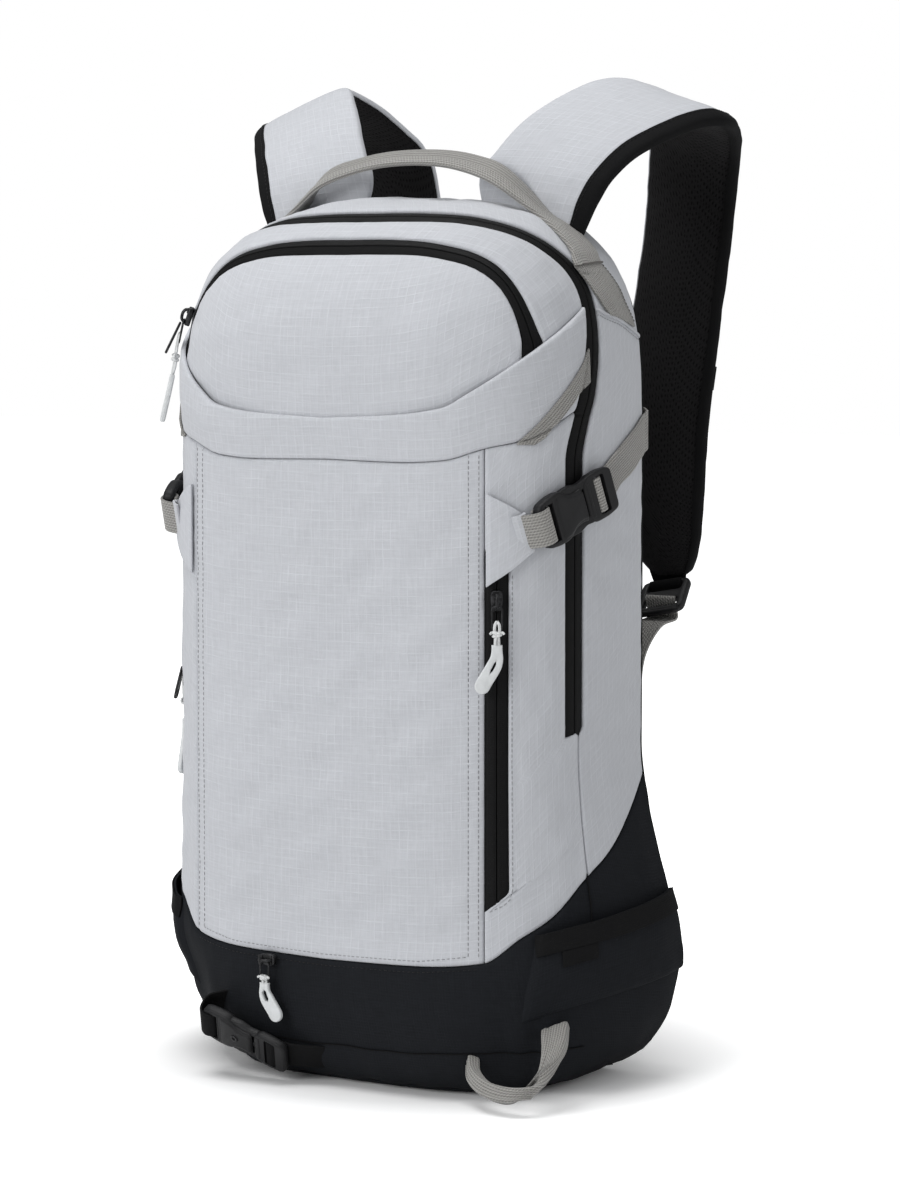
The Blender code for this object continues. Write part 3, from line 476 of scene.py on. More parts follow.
def grid_mesh(name, points, uv, wrap=False, out=None):
    """Quads over a grid of points (rows, columns, 3); wrap joins the last column to the first."""
    rows, columns = points.shape[:2]
    index = np.arange(rows * columns).reshape(rows, columns)
    if wrap:
        index = np.concatenate([index, index[:, :1]], 1)
        uv = np.concatenate([uv, uv[:, :1] + (uv[:, -1:] - uv[:, -2:-1])], 1)
    quads = np.stack([index[:-1, :-1], index[:-1, 1:], index[1:, 1:], index[1:, :-1]], -1)
    cloth = np.stack([uv[:-1, :-1], uv[:-1, 1:], uv[1:, 1:], uv[1:, :-1]], 2)
    if out is not None:
        i, j = (rows - 1) // 2, (points.shape[1] - 1) // 2
        normal = np.cross(points[i, j + 1] - points[i, j], points[i + 1, j] - points[i, j])
        if normal @ out[i, j] < 0:
            quads, cloth = quads[..., ::-1], cloth[:, :, ::-1]
    mesh = bpy.data.meshes.new(name)
    mesh.from_pydata(points.reshape(-1, 3).tolist(), [], quads.reshape(-1, 4).tolist())
    layer = mesh.uv_layers.new(name="cloth")
    layer.data.foreach_set("uv", cloth.reshape(-1).astype(np.float32))
    return mesh


def thicken(made, thickness, offset=-1.0, bevel=0.0):
    solid = made.modifiers.new("thickness", "SOLIDIFY")
    solid.thickness = thickness
    solid.offset = offset
    solid.use_even_offset = False
    if bevel:
        rounding = made.modifiers.new("edges", "BEVEL")
        rounding.width = bevel
        rounding.segments = 2
        rounding.limit_method = "ANGLE"
        rounding.angle_limit = radians(50)
    return made


def grid_normals(points):
    along = np.gradient(points, axis=1)
    up = np.gradient(points, axis=0)
    normal = np.cross(along, up)
    return normal / np.maximum(np.linalg.norm(normal, axis=-1, keepdims=True), 1e-12)


def lengths(points, axis):
    """Length along a grid's rows or columns, from their first point."""
    step = np.linalg.norm(np.diff(points, axis=axis), axis=-1)
    pad = np.zeros_like(np.take(step, [0], axis=axis))
    return np.concatenate([pad, np.cumsum(step, axis=axis)], axis=axis)


def grid_uv(points, along=False):
    """Cloth coordinates across and up a grid, or first along its rows."""
    across, up = lengths(points, 1), lengths(points, 0)
    return np.stack([up, across] if along else [across, up], -1)


def sheet(name, points, uv, look, body, thickness, replaced=(), offset=-1.0, bevel=0.0, **shape):
    """A layer with thickness over a grid of points."""
    made = piece(name, grid_mesh(name, points, uv, **shape), look)
    thicken(made, thickness, offset, bevel)
    return settle(made, body, replaced)


def fine_steps(length, coarse=0.0038):
    """Grid lines from 0 to 1 over a length, close together near the seams."""
    near = [0, 0.0004, 0.0009, 0.0016, 0.0026, 0.0042, 0.0065, 0.0095]
    middle = np.linspace(0.013, length - 0.013, max(2, int((length - 0.026) / coarse)))
    return np.concatenate([near, middle, length - np.array(near[::-1])]) / length


SEAM_DEPTH, SEAM_ROLL = 0.0021, 0.0034


def edge_profile(distance, kind):
    """Lift beside an edge: a seam rolls inwards, a welt is a thick fold, a free edge is flat."""
    if kind == "seam":
        t = np.clip(distance / SEAM_ROLL, 0, 1)
        return -SEAM_DEPTH * (1 - np.sqrt(1 - (1 - t) ** 2))
    if kind == "welt":
        t = np.clip(distance / 0.0014, 0, 1)
        return 0.0004 * ease(0.006 - distance, 0, 0.003) - 0.0022 * (1 - np.sqrt(1 - (1 - t) ** 2))
    return distance * 0


CLOTHS = []               # finished panels, for laying stitches and strips on them


def panel(name, points, body, replaced, look="light_ripstop", edges=("seam",) * 4, crown=0.002,
          reach=0.05, folds=0.0006, pucker=0.00035, seed=1, extra=None):
    """A sewn panel over a grid of skin points.

    edges names its left, right, low and high edges; crown is how far it swells between
    them; folds and pucker are the heights of its slack folds and of the pulls at its seams;
    extra is more lift, over the same grid.
    """
    normal = grid_normals(points)
    centre = np.array([0, 0.0, 0.26])
    flip = np.sign(((points - centre) * normal).sum(-1).mean())
    normal = normal * flip
    across, up = lengths(points, 1), lengths(points, 0)
    gaps = [across, across[:, -1:] - across, up, up[-1:] - up]
    sides = np.minimum(gaps[0], gaps[1])
    ends = np.minimum(gaps[2], gaps[3])
    swell = (1 - np.exp(-sides / reach)) * (1 - np.exp(-ends / reach))
    full = (1 - np.exp(-sides.max() / reach)) * (1 - np.exp(-ends.max() / reach))
    lift = crown * swell / full
    seam_distance = np.full(sides.shape, 1.0)
    for gap, kind in zip(gaps, edges):
        lift = lift + edge_profile(gap, kind)
        if kind != "free":
            seam_distance = np.minimum(seam_distance, gap)
    lift = lift + folds * ripple(points * [1, 1, 0.6], 0.075, seed) * swell
    lift = lift + folds * 0.45 * ripple(points, 0.028, seed + 40) * ease(seam_distance, 0, 0.02)
    pulls = ripple(points, 0.011, seed + 80) * np.exp(-seam_distance / 0.012)
    lift = lift + pucker * pulls * ease(seam_distance, 0, 0.003)
    if extra is not None:
        lift = lift + extra
    shaped = points + normal * lift[..., None]
    uv = np.stack([across - across[:, -1:] / 2, up], -1)
    mesh = grid_mesh(name, shaped, uv, out=normal)
    made = piece(name, mesh, look)
    CLOTHS.append(BVHTree.FromPolygons([v.co.copy() for v in mesh.vertices],
                                       [tuple(f.vertices) for f in mesh.polygons]))
    thicken(made, FABRIC)
    settle(made, body, replaced)


def laid(points, normals, lift=0.0, reach=0.016):
    """Points dropped onto the finished panels along their normals, raised by lift."""
    out = np.array(points, float)
    flat, towards = out.reshape(-1, 3), np.broadcast_to(normals, out.shape).reshape(-1, 3)
    for i, (point, normal) in enumerate(zip(flat, towards)):
        start = Vector(point + normal * reach)
        hits = [tree.ray_cast(start, Vector(-normal), 2 * reach) for tree in CLOTHS]
        found = [hit[3] for hit in hits if hit[0] is not None]
        depth = min(found) if found else reach
        flat[i] = point + normal * (reach - depth + lift)
    return out


def strip(name, points, body, look="webbing", thickness=WEBBING, replaced=(), offset=0.0,
          bevel=0.0003):
    """Webbing or tape over a grid: rows run along it and columns across."""
    return sheet(name, points, grid_uv(points, True), look, body, thickness, replaced, offset,
                 bevel)


def dashes(paths, pitch=0.0031, share=0.7, radius=0.00024):
    """Stitches as short round threads along paths of (point, normal) arrays."""
    ring = np.array([(cos(a), sin(a)) for a in (0, pi / 2, pi, 3 * pi / 2)])
    verts, faces = [], []
    for path, normals in paths:
        length = lengths(path[None], 1)[0]
        for start in np.arange(pitch * 0.3, length[-1] - pitch * 0.5, pitch):
            spots = start + np.array([0, 0.12, 0.5, 0.88, 1]) * pitch * share
            spots = np.minimum(spots, length[-1])
            line = np.stack([np.interp(spots, length, path[:, k]) for k in range(3)], -1)
            up = np.array([np.interp(spots[2], length, normals[:, k]) for k in range(3)])
            up /= np.linalg.norm(up)
            along = line[-1] - line[0]
            side = np.cross(along, up)
            size = np.linalg.norm(side)
            if size < 1e-9:
                continue
            side /= size
            base = len(verts)
            for k, (point, wide) in enumerate(zip(line, (0.5, 1, 1.15, 1, 0.5))):
                sink = (-1.0, 0.1, 0.45, 0.1, -1.0)[k] * radius
                for c, d in ring:
                    verts.append(point + up * sink + (side * c + up * d) * radius * wide)
            for k in range(4):
                for j in range(4):
                    a, b = base + 4 * k + j, base + 4 * k + (j + 1) % 4
                    faces.append((a, b, b + 4, a + 4))
            faces.append(tuple(base + j for j in (3, 2, 1, 0)))
            faces.append(tuple(base + 16 + j for j in range(4)))
    return verts, faces


def stitches(name, paths, look, body, **settings):
    verts, faces = dashes(paths, **settings)
    mesh = bpy.data.meshes.new(name)
    mesh.from_pydata([tuple(v) for v in verts], [], faces)
    mesh.uv_layers.new(name="cloth")
    return piece(name, mesh, look, body)


def skin_line(turns, runs, count=160, lift=0.00008):
    """A stitch line on the panels through knots of turn and run."""
    t = np.linspace(0, 1, count)
    knots = np.linspace(0, 1, len(turns))
    turn, run = np.interp(t, knots, turns), np.interp(t, knots, runs)
    normal = outward(turn, run)
    return laid(surface(turn, run), normal, lift), normal


# ---- camera, light and floor ----

def look_from(azimuth, elevation, distance, target):
    a, e = radians(azimuth), radians(elevation)
    away = Vector((sin(a) * cos(e), -cos(a) * cos(e), sin(e)))
    data = bpy.data.cameras.new("camera")
    camera = bpy.data.objects.new("camera", data)
    bpy.context.scene.collection.objects.link(camera)
    camera.location = Vector(target) + away * distance
    camera.rotation_euler = (-away).to_track_quat("-Z", "Y").to_euler()
    data.sensor_fit = "VERTICAL"
    data.sensor_height = 36
    data.lens = 105.9
    bpy.context.scene.camera = camera


def light(name, place, target, size, power):
    data = bpy.data.lights.new(name, "AREA")
    data.shape = "RECTANGLE"
    data.size, data.size_y = size
    data.energy = power
    made = bpy.data.objects.new(name, data)
    bpy.context.scene.collection.objects.link(made)
    made.location = place
    made.rotation_euler = (Vector(target) - Vector(place)).to_track_quat("-Z", "Y").to_euler()


def studio():
    look_from(31.5, 4.9, 2.1, (0.0335, 0, 0.282))
    middle = (0, 0, 0.28)
    light("key", (-0.55, -2.25, 1.2), middle, (1.3, 1.3), 27.5)
    light("top", (-0.3, -0.3, 3.1), middle, (2.0, 2.0), 60)
    light("rim", (2.2, 0.5, 1.0), middle, (1.6, 1.6), 7)
    scene = bpy.context.scene
    scene.view_settings.view_transform = "Standard"
    world = bpy.data.worlds.new("studio")
    world.use_nodes = True
    tree = world.node_tree
    ambient = tree.nodes["Background"]
    ambient.inputs[0].default_value = (0.97, 0.985, 1, 1)
    ambient.inputs[1].default_value = 0.33
    backdrop = tree.nodes.new("ShaderNodeBackground")
    backdrop.inputs[0].default_value = (1, 1, 1, 1)
    backdrop.inputs[1].default_value = 1.0
    seen = tree.nodes.new("ShaderNodeLightPath")
    mixed = tree.nodes.new("ShaderNodeMixShader")
    tree.links.new(seen.outputs["Is Camera Ray"], mixed.inputs[0])
    tree.links.new(ambient.outputs[0], mixed.inputs[1])
    tree.links.new(backdrop.outputs[0], mixed.inputs[2])
    tree.links.new(mixed.outputs[0], tree.nodes["World Output"].inputs[0])
    scene.world = world
    ground = bpy.data.meshes.new("floor")
    size = 9.0
    ground.from_pydata([(-size, -size, 0), (size, -size, 0), (size, size, 0), (-size, size, 0)],
                       [], [(0, 1, 2, 3)])
    floor = bpy.data.objects.new("floor", ground)
    scene.collection.objects.link(floor)
    pale = Shader("pale_floor", (0.96, 0.96, 0.96), 0.9, specular=0.1)
    # Painted light: the floor glows white for camera rays only. There is no glow within about 0.11
    # m of the middle under the pack, and it rises to 0.85 by 0.30 m. So the real contact shadows
    # stay close to the pack, and the floor further out shows as white.
    far = pale.add("ShaderNodeVectorMath", pale.place, operation="LENGTH").outputs["Value"]
    pale.end.inputs["Emission Color"].default_value = (1, 1, 1, 1)
    direct = pale.add("ShaderNodeLightPath").outputs["Is Camera Ray"]
    floor_glow = pale.math("MULTIPLY", pale.ramp(far, 0.11, 0.30, 0.0, 0.85), direct)
    pale.put(pale.end.inputs["Emission Strength"], floor_glow)
    ground.materials.append(pale.material)


# ---- body panels ----

def base_top(turn):
    return through(BASE_LINE, abs(turn))


def between(front, rear, low, high, us, vs):
    """Grid of turn and run between two side edges (turn by run) and two ends (run by turn)."""
    v = vs[:, None]
    sides = []
    for edge in (front, rear):
        turn = edge(np.full(v.shape, 0.3))
        for _ in range(6):
            turn = edge(lerp(low(turn), high(turn), v))
        sides.append(turn)
    turn = lerp(sides[0], sides[1], us[None, :])
    return turn, lerp(low(turn), high(turn), v)


def yoke_foot(turn):
    return run_at(turn, through(YOKE_LOW, abs(turn)))


def yoke_head(turn):
    return run_at(turn, through(YOKE_HIGH, abs(turn)))


def front_panel():
    us, vs = fine_steps(0.25), fine_steps(0.29)
    turn = lerp(-PANEL_SEAM, PANEL_SEAM, us)[None, :] + 0 * vs[:, None]
    z = lerp(base_top(turn), through(YOKE_LOW, abs(turn)), vs[:, None])
    panel("front_cloth", surface(turn, z), "pack", ["front_panel"], crown=0.0016,
          reach=0.07, folds=0.0011, seed=3)
    rows = [skin_line([side * t] * 2, [0.0845, 0.3725]) for side in (1, -1)
            for t in (35.6, 37.7)]
    rows.append(skin_line([-36, -25, 0, 25, 36], [0.0855, 0.0812, 0.0797, 0.0812, 0.0855], 300))
    stitches("front_stitching", rows, "thread_grey", "pack")


def side_panels():
    def front(run):
        opened = ease(run, 0.1135, 0.1215) * (1 - ease(run, 0.3100, 0.3185))
        return PANEL_SEAM + (FRONT_ZIP_REAR - PANEL_SEAM) * opened

    def seam(run):
        return np.full(np.shape(run), PANEL_SEAM)

    def rear(run):
        return np.where(run < 0.2115, GUSSET_SEAM,
                        lerp(GUSSET_SEAM, zip_turn(run) - ZIP_HALF, ease(run, 0.2110, 0.2165)))
    us, vs = fine_steps(0.075, 0.0032), fine_steps(0.29, 0.0022)
    for name, side in SIDES:
        turn, run = between(front if side > 0 else seam, rear, base_top, yoke_foot, us, vs)
        panel("side_cloth_" + name, surface(side * turn, run), "pack", ["side_panel_" + name],
              edges=("welt" if side > 0 else "seam", "welt", "seam", "seam"), crown=0.0014,
              reach=0.03, folds=0.0010, seed=5 + side)
    opening = [skin_line([44.55, 44.55], [0.1245, 0.3060], 120),
               skin_line([39.6, 42.6, 44.0, 44.55], [0.1108, 0.1147, 0.1185, 0.1245], 60)]
    stitches("front_zip_stitching", opening, "thread_grey", "pack")


def gusset_front(run):
    run = np.minimum(run, 2 * RUN_TOP - run)
    return lerp(GUSSET_SEAM, zip_turn(run) + ZIP_HALF, ease(run, 0.2090, 0.2125))


def gusset():
    us, vs = fine_steps(0.075, 0.0036), fine_steps(0.86, 0.0034)
    turn, run = between(gusset_front, lambda run: np.full(np.shape(run), 90.0), base_top,
                        lambda turn: 2 * RUN_TOP - base_top(turn), us, vs)
    panel("gusset_cloth", surface(turn, run), "pack", ["gusset"],
          edges=("welt", "seam", "seam", "seam"), crown=0.0022, reach=0.03, folds=0.0012, seed=9)


def base_shell():
    us, vs = fine_steps(0.62, 0.0042), fine_steps(0.12, 0.0036)
    turn = lerp(-90, 90, us)[None, :] + 0 * vs[:, None]
    z = lerp(0.0008, base_top(turn), vs[:, None])
    points = surface(turn, z)
    corner = np.exp(-((abs(turn) - 50) / 9) ** 2) * np.exp(-((z - 0.03) / 0.03) ** 2)
    gathers = 0.0016 * corner * ripple(points * [1, 1, 0.4], 0.022, 31)
    panel("base_cloth", points, "pack", ["base_shell"], "black_fabric",
          edges=("free", "free", "free", "seam"), crown=0.0006, reach=0.03,
          folds=0.0009, seed=12, extra=gathers)
    rows = [skin_line([-38, -25, 0, 25, 38], [0.0785, 0.0748, 0.0733, 0.0748, 0.0785], 300)]
    stitches("base_stitching", rows, "thread_black", "pack")
    # Painted shade: rods in the darker binding cloth lie along a low crease of the base and down
    # from the side seams to the pockets' tops. The crease and the seams are real, and the rods'
    # darker cloth stands for the shade in them.
    heights = [0.030, 0.030, 0.029, 0.026, 0.026, 0.026, 0.029, 0.030, 0.030]
    creases = [skin_line([-60, -48, -40, -20, 0, 20, 40, 48, 60], heights, 200, 0.0004)]
    creases += [skin_line([side * 61.1] * 2, [0.1300, 0.1010], 30, 0.0004) for _, side in SIDES]
    shade_rods = [tube(line[0], 0.0006, 6, flat=0.6) for line in creases]
    hardware("base_crease_shade", joined(shade_rods), Matrix(), "binding", "pack")


def side_pockets():
    for name, side in SIDES:
        us, vs = fine_steps(0.105, 0.0034), fine_steps(0.04, 0.0026)
        u, v = us[None, :], vs[:, None]
        turn = lerp(lerp(44.6, 48.6, v), 89.8, u)
        low = through([(44, 0.0400), (47, 0.0480), (62, 0.0577), (90, 0.0665)], turn)
        high = through(POCKET_TOP, turn)
        points = skin(side * turn, lerp(low, high, v))
        stand = 0.0030 * ease(u, 0.0, 0.05) + 0.0026 * v * (1 - abs(2 * u - 1) ** 3)
        panel("pocket_cloth_" + name, points, "pack", ["side_pocket_" + name], "black_fabric",
              edges=("seam", "free", "seam", "free"), crown=0.0015, reach=0.02, folds=0.0012,
              seed=17 + side, extra=stand)
        turns = np.linspace(48.6, 89.6, 90)
        top = through(POCKET_TOP, turns)
        rows = np.linspace(0.0012, -0.0125, 7)
        turn_grid, run_grid = turns[None, :] + 0 * rows[:, None], top[None, :] + rows[:, None]
        normal = outward(side * turn_grid, run_grid)
        hem = laid(surface(side * turn_grid, run_grid), normal, 0.0009)
        hem[0] = hem[1] + [0, 0, 0.0012]
        strip("pocket_hem_" + name, hem.transpose(1, 0, 2), "pack", "binding", 0.0011)
        if side > 0:
            tag_turn = np.linspace(53.2, 60.6, 12)[None, :] + np.zeros((5, 1))
            tag_run = through(POCKET_TOP, tag_turn) + np.linspace(-0.0125, -0.0215, 5)[:, None]
            tag = laid(surface(tag_turn, tag_run), outward(tag_turn, tag_run), 0.0008)
            strip("pocket_tag", tag.transpose(1, 0, 2), "pack", "binding", 0.0008)


def lid_panels():
    def edge(run):
        return zip_turn(run) - ZIP_HALF

    us, vs = fine_steps(0.42, 0.0036), fine_steps(0.034, 0.0026)
    v = vs[:, None]
    limit = np.full(v.shape, 62.0)
    for _ in range(8):
        limit = edge(lerp(yoke_foot(limit), yoke_head(limit), v))
    turn = lerp(-1, 1, us)[None, :] * limit
    low, high = through(YOKE_LOW, abs(turn)), through(YOKE_HIGH, abs(turn))
    points = at_height(turn, lerp(low, high, v))
    lip = 0.0026 * ease(v, 0.25, 1.0) + 0 * turn
    panel("yoke_cloth", points, "lid", ["yoke_panel"], edges=("seam", "seam", "seam", "welt"),
          crown=0.0022, reach=0.012, folds=0.0009, seed=21, extra=lip)

    us, vs = fine_steps(0.22, 0.0034), fine_steps(0.11, 0.0032)
    u, v = 2 * us[None, :] - 1, vs[:, None]
    turn = u * 47.2
    foot = at_height(turn, through(YOKE_HIGH, abs(turn)) - 0.0060)
    run = lerp(RUN_TOP, 0.4400, abs(u) ** 1.6)
    head = skin(np.where(u < 0, -1, 1) * goggle_inner(run), run)
    points = on_front(lerp(foot[..., 0], head[..., 0], v), lerp(foot[..., 2], head[..., 2], v))
    tuck = -0.0022 * (1 - ease(v, 0.02, 0.16)) * ease(abs(u), 0.25, 0.7)
    panel("goggle_cloth", points, "lid", ["goggle_panel"], edges=("seam", "seam", "seam", "seam"),
          crown=0.0042, reach=0.035, folds=0.0010, seed=23, extra=tuck)

    turn, run = between(goggle_outer, edge, lambda t: yoke_head(t) - 0.002,
                        lambda t: 2 * RUN_TOP - yoke_head(t) + 0.002, fine_steps(0.05, 0.0034),
                        fine_steps(0.34, 0.0034))
    panel("top_cloth", surface(turn, run), "lid", ["top_panel"],
          edges=("welt", "welt", "seam", "seam"), crown=0.0022, reach=0.02, folds=0.0012, seed=27)


def tape(name, turns, runs, body, nodes, side=1):
    """Half a zip: turns(run, share) from its hidden edge (0) to the parting (1)."""
    share = np.array([0, 0.15, 0.4, 0.7, 0.88, 0.96, 1.0])
    sink = np.array([-0.0026, -0.0012, -0.0006, -0.0004, -0.0001, -0.0004, -0.0013])
    turn = turns(runs[:, None], share[None, :])
    run = runs[:, None] + 0 * share[None, :]
    normal = outward(side * turn, run)
    points = surface(side * turn, run) + normal * sink[None, :, None]
    sheet(name, points, grid_uv(points, True), "zip_tape", body, 0.0009, nodes, out=normal)


def zips():
    runs = np.linspace(0.2090, 2 * RUN_TOP - 0.2090, 420)
    tape("main_zip_rear", lambda run, s: zip_turn(run) + lerp(ZIP_HALF + 0.4, 0.0, s), runs,
         "pack", ["main_zip_tape_rear"])

    def front_half(run, s):
        return zip_turn(run) - lerp(ZIP_HALF + 0.4, 0.0, s)
    for name, side in SIDES:
        tape("main_zip_front_" + name, front_half, np.linspace(0.2090, LID_SPLIT, 90), "pack",
             ["main_zip_tape_" + name], side)
    tape("main_zip_lid", front_half, np.linspace(LID_SPLIT, 2 * RUN_TOP - LID_SPLIT, 240),
         "lid", ["main_zip_tape_lid"])
    runs = np.linspace(0.415, 2 * RUN_TOP - 0.415, 240)

    def parting(run):
        return (goggle_inner(run) + goggle_outer(run)) / 2
    tape("goggle_zip_outer", lambda run, s: lerp(goggle_outer(run) + 0.4, parting(run), s),
         runs, "lid", ["goggle_zip_tape"])
    tape("goggle_zip_inner", lambda run, s: lerp(goggle_inner(run) - 0.4, parting(run), s), runs,
         "lid", [])
    runs = np.linspace(0.1110, 0.3150, 110)
    tape("front_zip_rear", lambda run, s: lerp(FRONT_ZIP_REAR + 0.3, 41.4, s) + 0 * run, runs,
         "pack", ["front_zip_tape"])
    tape("front_zip_front", lambda run, s: lerp(PANEL_SEAM - 0.3, 41.4, s) + 0 * run, runs,
         "pack", [])


# ---- hardware building ----

def smooth_route(points, per_span=4):
    """Catmull-Rom curve through points."""
    p = np.array(points, float)
    p = np.concatenate([2 * p[:1] - p[1:2], p, 2 * p[-1:] - p[-2:-1]])
    t = np.linspace(0, 1, per_span, endpoint=False)[:, None]
    spans = []
    for a, b, c, d in zip(p, p[1:], p[2:], p[3:]):
        spans.append(0.5 * (2 * b + (c - a) * t + (2 * a - 5 * b + 4 * c - d) * t**2
                            + (3 * b - a - 3 * c + d) * t**3))
    return np.concatenate(spans + [p[-2:-1]])


def frame_at(origin, along, normal):
    """Matrix with its X axis along a direction and its Z axis near a normal."""
    x = Vector(along).normalized()
    z = Vector(normal)
    z = (z - x * z.dot(x)).normalized()
    made = Matrix((x, z.cross(x), z)).transposed().to_4x4()
    made.translation = origin
    return made


def mirrored(place):
    """The same placing on the pack's other side, still right-handed."""
    return Matrix.Diagonal((-1, 1, 1, 1)) @ place @ Matrix.Diagonal((1, -1, 1, 1))


def rounded(points, radius, count=5):
    """A closed outline with its corners rounded."""
    made = []
    for before, here, after in zip(points[-1:] + points[:-1], points, points[1:] + points[:1]):
        here = Vector(here)
        ways = [Vector(other) - here for other in (before, after)]
        a, b = [here + way.normalized() * min(radius, way.length * 0.45) for way in ways]
        for t in np.linspace(0, 1, count):
            made.append(tuple((1 - t) ** 2 * a + 2 * t * (1 - t) * here + t * t * b))
    return made


def bar(start, end, half, radius):
    """A rounded rectangle from start to end along X."""
    return rounded([(start, -half), (end, -half), (end, half), (start, half)], radius)


def oblong(width, height, radius, x=0.0, y=0.0):
    w, h = width / 2, height / 2
    return rounded([(x - w, y - h), (x + w, y - h), (x + w, y + h), (x - w, y + h)], radius)


def plate(loops, thick, rounding=0.0006, rise=0.0):
    """Flat moulded shape with rounded edges, in its own frame; later loops are holes."""
    curve = bpy.data.curves.new("plate", "CURVE")
    curve.dimensions = "2D"
    curve.fill_mode = "BOTH"
    curve.extrude = thick / 2 - rounding
    curve.bevel_depth = rounding
    curve.bevel_resolution = 2
    curve.offset = -rounding
    for k, loop in enumerate(loops):
        area = sum(a[0] * b[1] - b[0] * a[1] for a, b in zip(loop, loop[1:] + loop[:1]))
        if (area > 0) == (k > 0):
            loop = loop[::-1]
        spline = curve.splines.new("POLY")
        spline.points.add(len(loop) - 1)
        for point, (x, y) in zip(spline.points, loop):
            point.co = (x, y, 0, 1)
        spline.use_cyclic_u = True
    shape = bpy.data.objects.new("plate", curve)
    mesh = bpy.data.meshes.new_from_object(shape)
    bpy.data.objects.remove(shape)
    mesh.transform(Matrix.Translation((0, 0, rise)))
    return welded(mesh)


def welded(mesh, distance=1e-6):
    work = bmesh.new()
    work.from_mesh(mesh)
    bmesh.ops.remove_doubles(work, verts=work.verts, dist=distance)
    bmesh.ops.recalc_face_normals(work, faces=work.faces)
    work.to_mesh(mesh)
    work.free()
    return mesh


def tube(path, radius, ring=10, closed=False, flat=1.0):
    """Round rod along a path; flat narrows it along the path's own normal."""
    path = np.array(path, float)
    if closed:
        path = np.concatenate([path, path[:1]])
    along = np.gradient(path, axis=0)
    if closed:
        along[0] = along[-1] = along[0] + along[-1]
    along /= np.linalg.norm(along, axis=1, keepdims=True)
    side = np.cross(along[0], [0.3, 0.5, 0.81])
    rows = []
    for point, way in zip(path, along):
        side = side - way * (side @ way)
        side /= np.linalg.norm(side)
        other = np.cross(way, side)
        rows.append([point + radius * (side * cos(a) + other * sin(a) * flat)
                     for a in np.arange(ring) * 2 * pi / ring])
    rows = np.array(rows)
    mesh = bpy.data.meshes.new("tube")
    faces = []
    for i in range(len(rows) - 1):
        for j in range(ring):
            k = (j + 1) % ring
            faces.append((i * ring + j, i * ring + k, (i + 1) * ring + k, (i + 1) * ring + j))
    if not closed:
        faces += [tuple(range(ring))[::-1], tuple((len(rows) - 1) * ring + j for j in range(ring))]
    mesh.from_pydata(rows.reshape(-1, 3).tolist(), [], faces)
    return welded(mesh)


def joined(meshes):
    work = bmesh.new()
    for mesh in meshes:
        work.from_mesh(mesh)
    made = bpy.data.meshes.new("joined")
    work.to_mesh(made)
    work.free()
    return made


def baked(made):
    """The object's mesh with its modifiers applied, as a new mesh."""
    bpy.context.view_layer.update()
    graph = bpy.context.evaluated_depsgraph_get()
    return bpy.data.meshes.new_from_object(made.evaluated_get(graph))


def carve(mesh, cutters):
    """A mesh with boxes and plates cut out of it."""
    base = bpy.data.objects.new("base", mesh)
    tools = [bpy.data.objects.new("tool", cutter) for cutter in cutters]
    for item in [base] + tools:
        bpy.context.scene.collection.objects.link(item)
    for tool in tools:
        cut = base.modifiers.new("cut", "BOOLEAN")
        cut.operation = "DIFFERENCE"
        cut.solver = "EXACT"
        cut.object = tool
    done = baked(base)
    for item in [base] + tools:
        bpy.data.objects.remove(item)
    return done


def hardware(name, mesh, place, look, body, replaced=()):
    mesh.transform(place)
    mesh.uv_layers.new(name="cloth")
    return piece(name, mesh, look, body, replaced)


def loft(name, centres, acrosses, profile, look, body=None, replaced=(), lift=None):
    """Closed body along centres; the profile's X is in half widths, its Y in metres."""
    along = np.gradient(centres, axis=0)
    normal = np.cross(acrosses, along)
    normal /= np.linalg.norm(normal, axis=1, keepdims=True)
    points = centres[:, None] + acrosses[:, None] / 2 * profile[None, :, :1] \
        + normal[:, None] * profile[None, :, 1:]
    if lift is not None:
        points = points + lift(points)
    ends = points[[0, -1]].mean(1, keepdims=True)
    taper = [lerp(ends[0], points[0], s) for s in (0.0, 0.8, 0.96)]
    shut = [lerp(ends[1], points[-1], s) for s in (0.96, 0.8, 0.0)]
    points = np.concatenate([taper, points, shut])
    ring = np.concatenate([points, points[:, :1]], 1)
    around, up = lengths(ring, 1)[:, :-1], lengths(points, 0)
    mesh = grid_mesh(name, points, np.stack([up, around], -1), wrap=True)
    welded(mesh)
    return piece(name, mesh, look, body, replaced)


def rim_points(angle, half, power):
    """Points of a superellipse, 1 wide to each side and half high."""
    c, s = np.cos(angle), np.sin(angle)
    return np.stack([np.sign(c) * abs(c) ** (2 / power),
                     half * np.sign(s) * abs(s) ** (2 / power)], -1)


def superellipse(count, half, power=3.5, start=0.0, stop=2 * pi, closed=True):
    a = np.linspace(start, stop, count, endpoint=not closed)
    return rim_points(a, half, power)


def local_strip(name, place, path, width, body, look="webbing", thickness=WEBBING, replaced=(),
                columns=9, narrow=None):
    """Webbing whose route is drawn in a frame's XZ plane, its width along Y."""
    route = smooth_route([(x, 0, z) for x, z in path], 5)
    across = np.linspace(-0.5, 0.5, columns)
    wide = width
    if narrow:
        wide = np.interp(np.linspace(0, 1, len(route)), *narrow)[:, None] * width
    points = route[:, None] + np.zeros((1, columns, 1))
    points[..., 1] = across[None, :] * wide
    turn, shift = np.array(place.to_3x3()), np.array(place.translation)
    points = points @ turn.T + shift
    return strip(name, points, body, look, thickness, replaced)


def remeshed(made, voxel=0.005):
    """Gives a piece even faces, and returns its points."""
    remesh = made.modifiers.new("remesh", "REMESH")
    remesh.mode = "VOXEL"
    remesh.voxel_size = voxel
    mesh, material = baked(made), made.data.materials[0]
    made.modifiers.clear()
    made.data = mesh
    mesh.materials.clear()
    mesh.materials.append(material)
    return np.array([v.co for v in mesh.vertices])


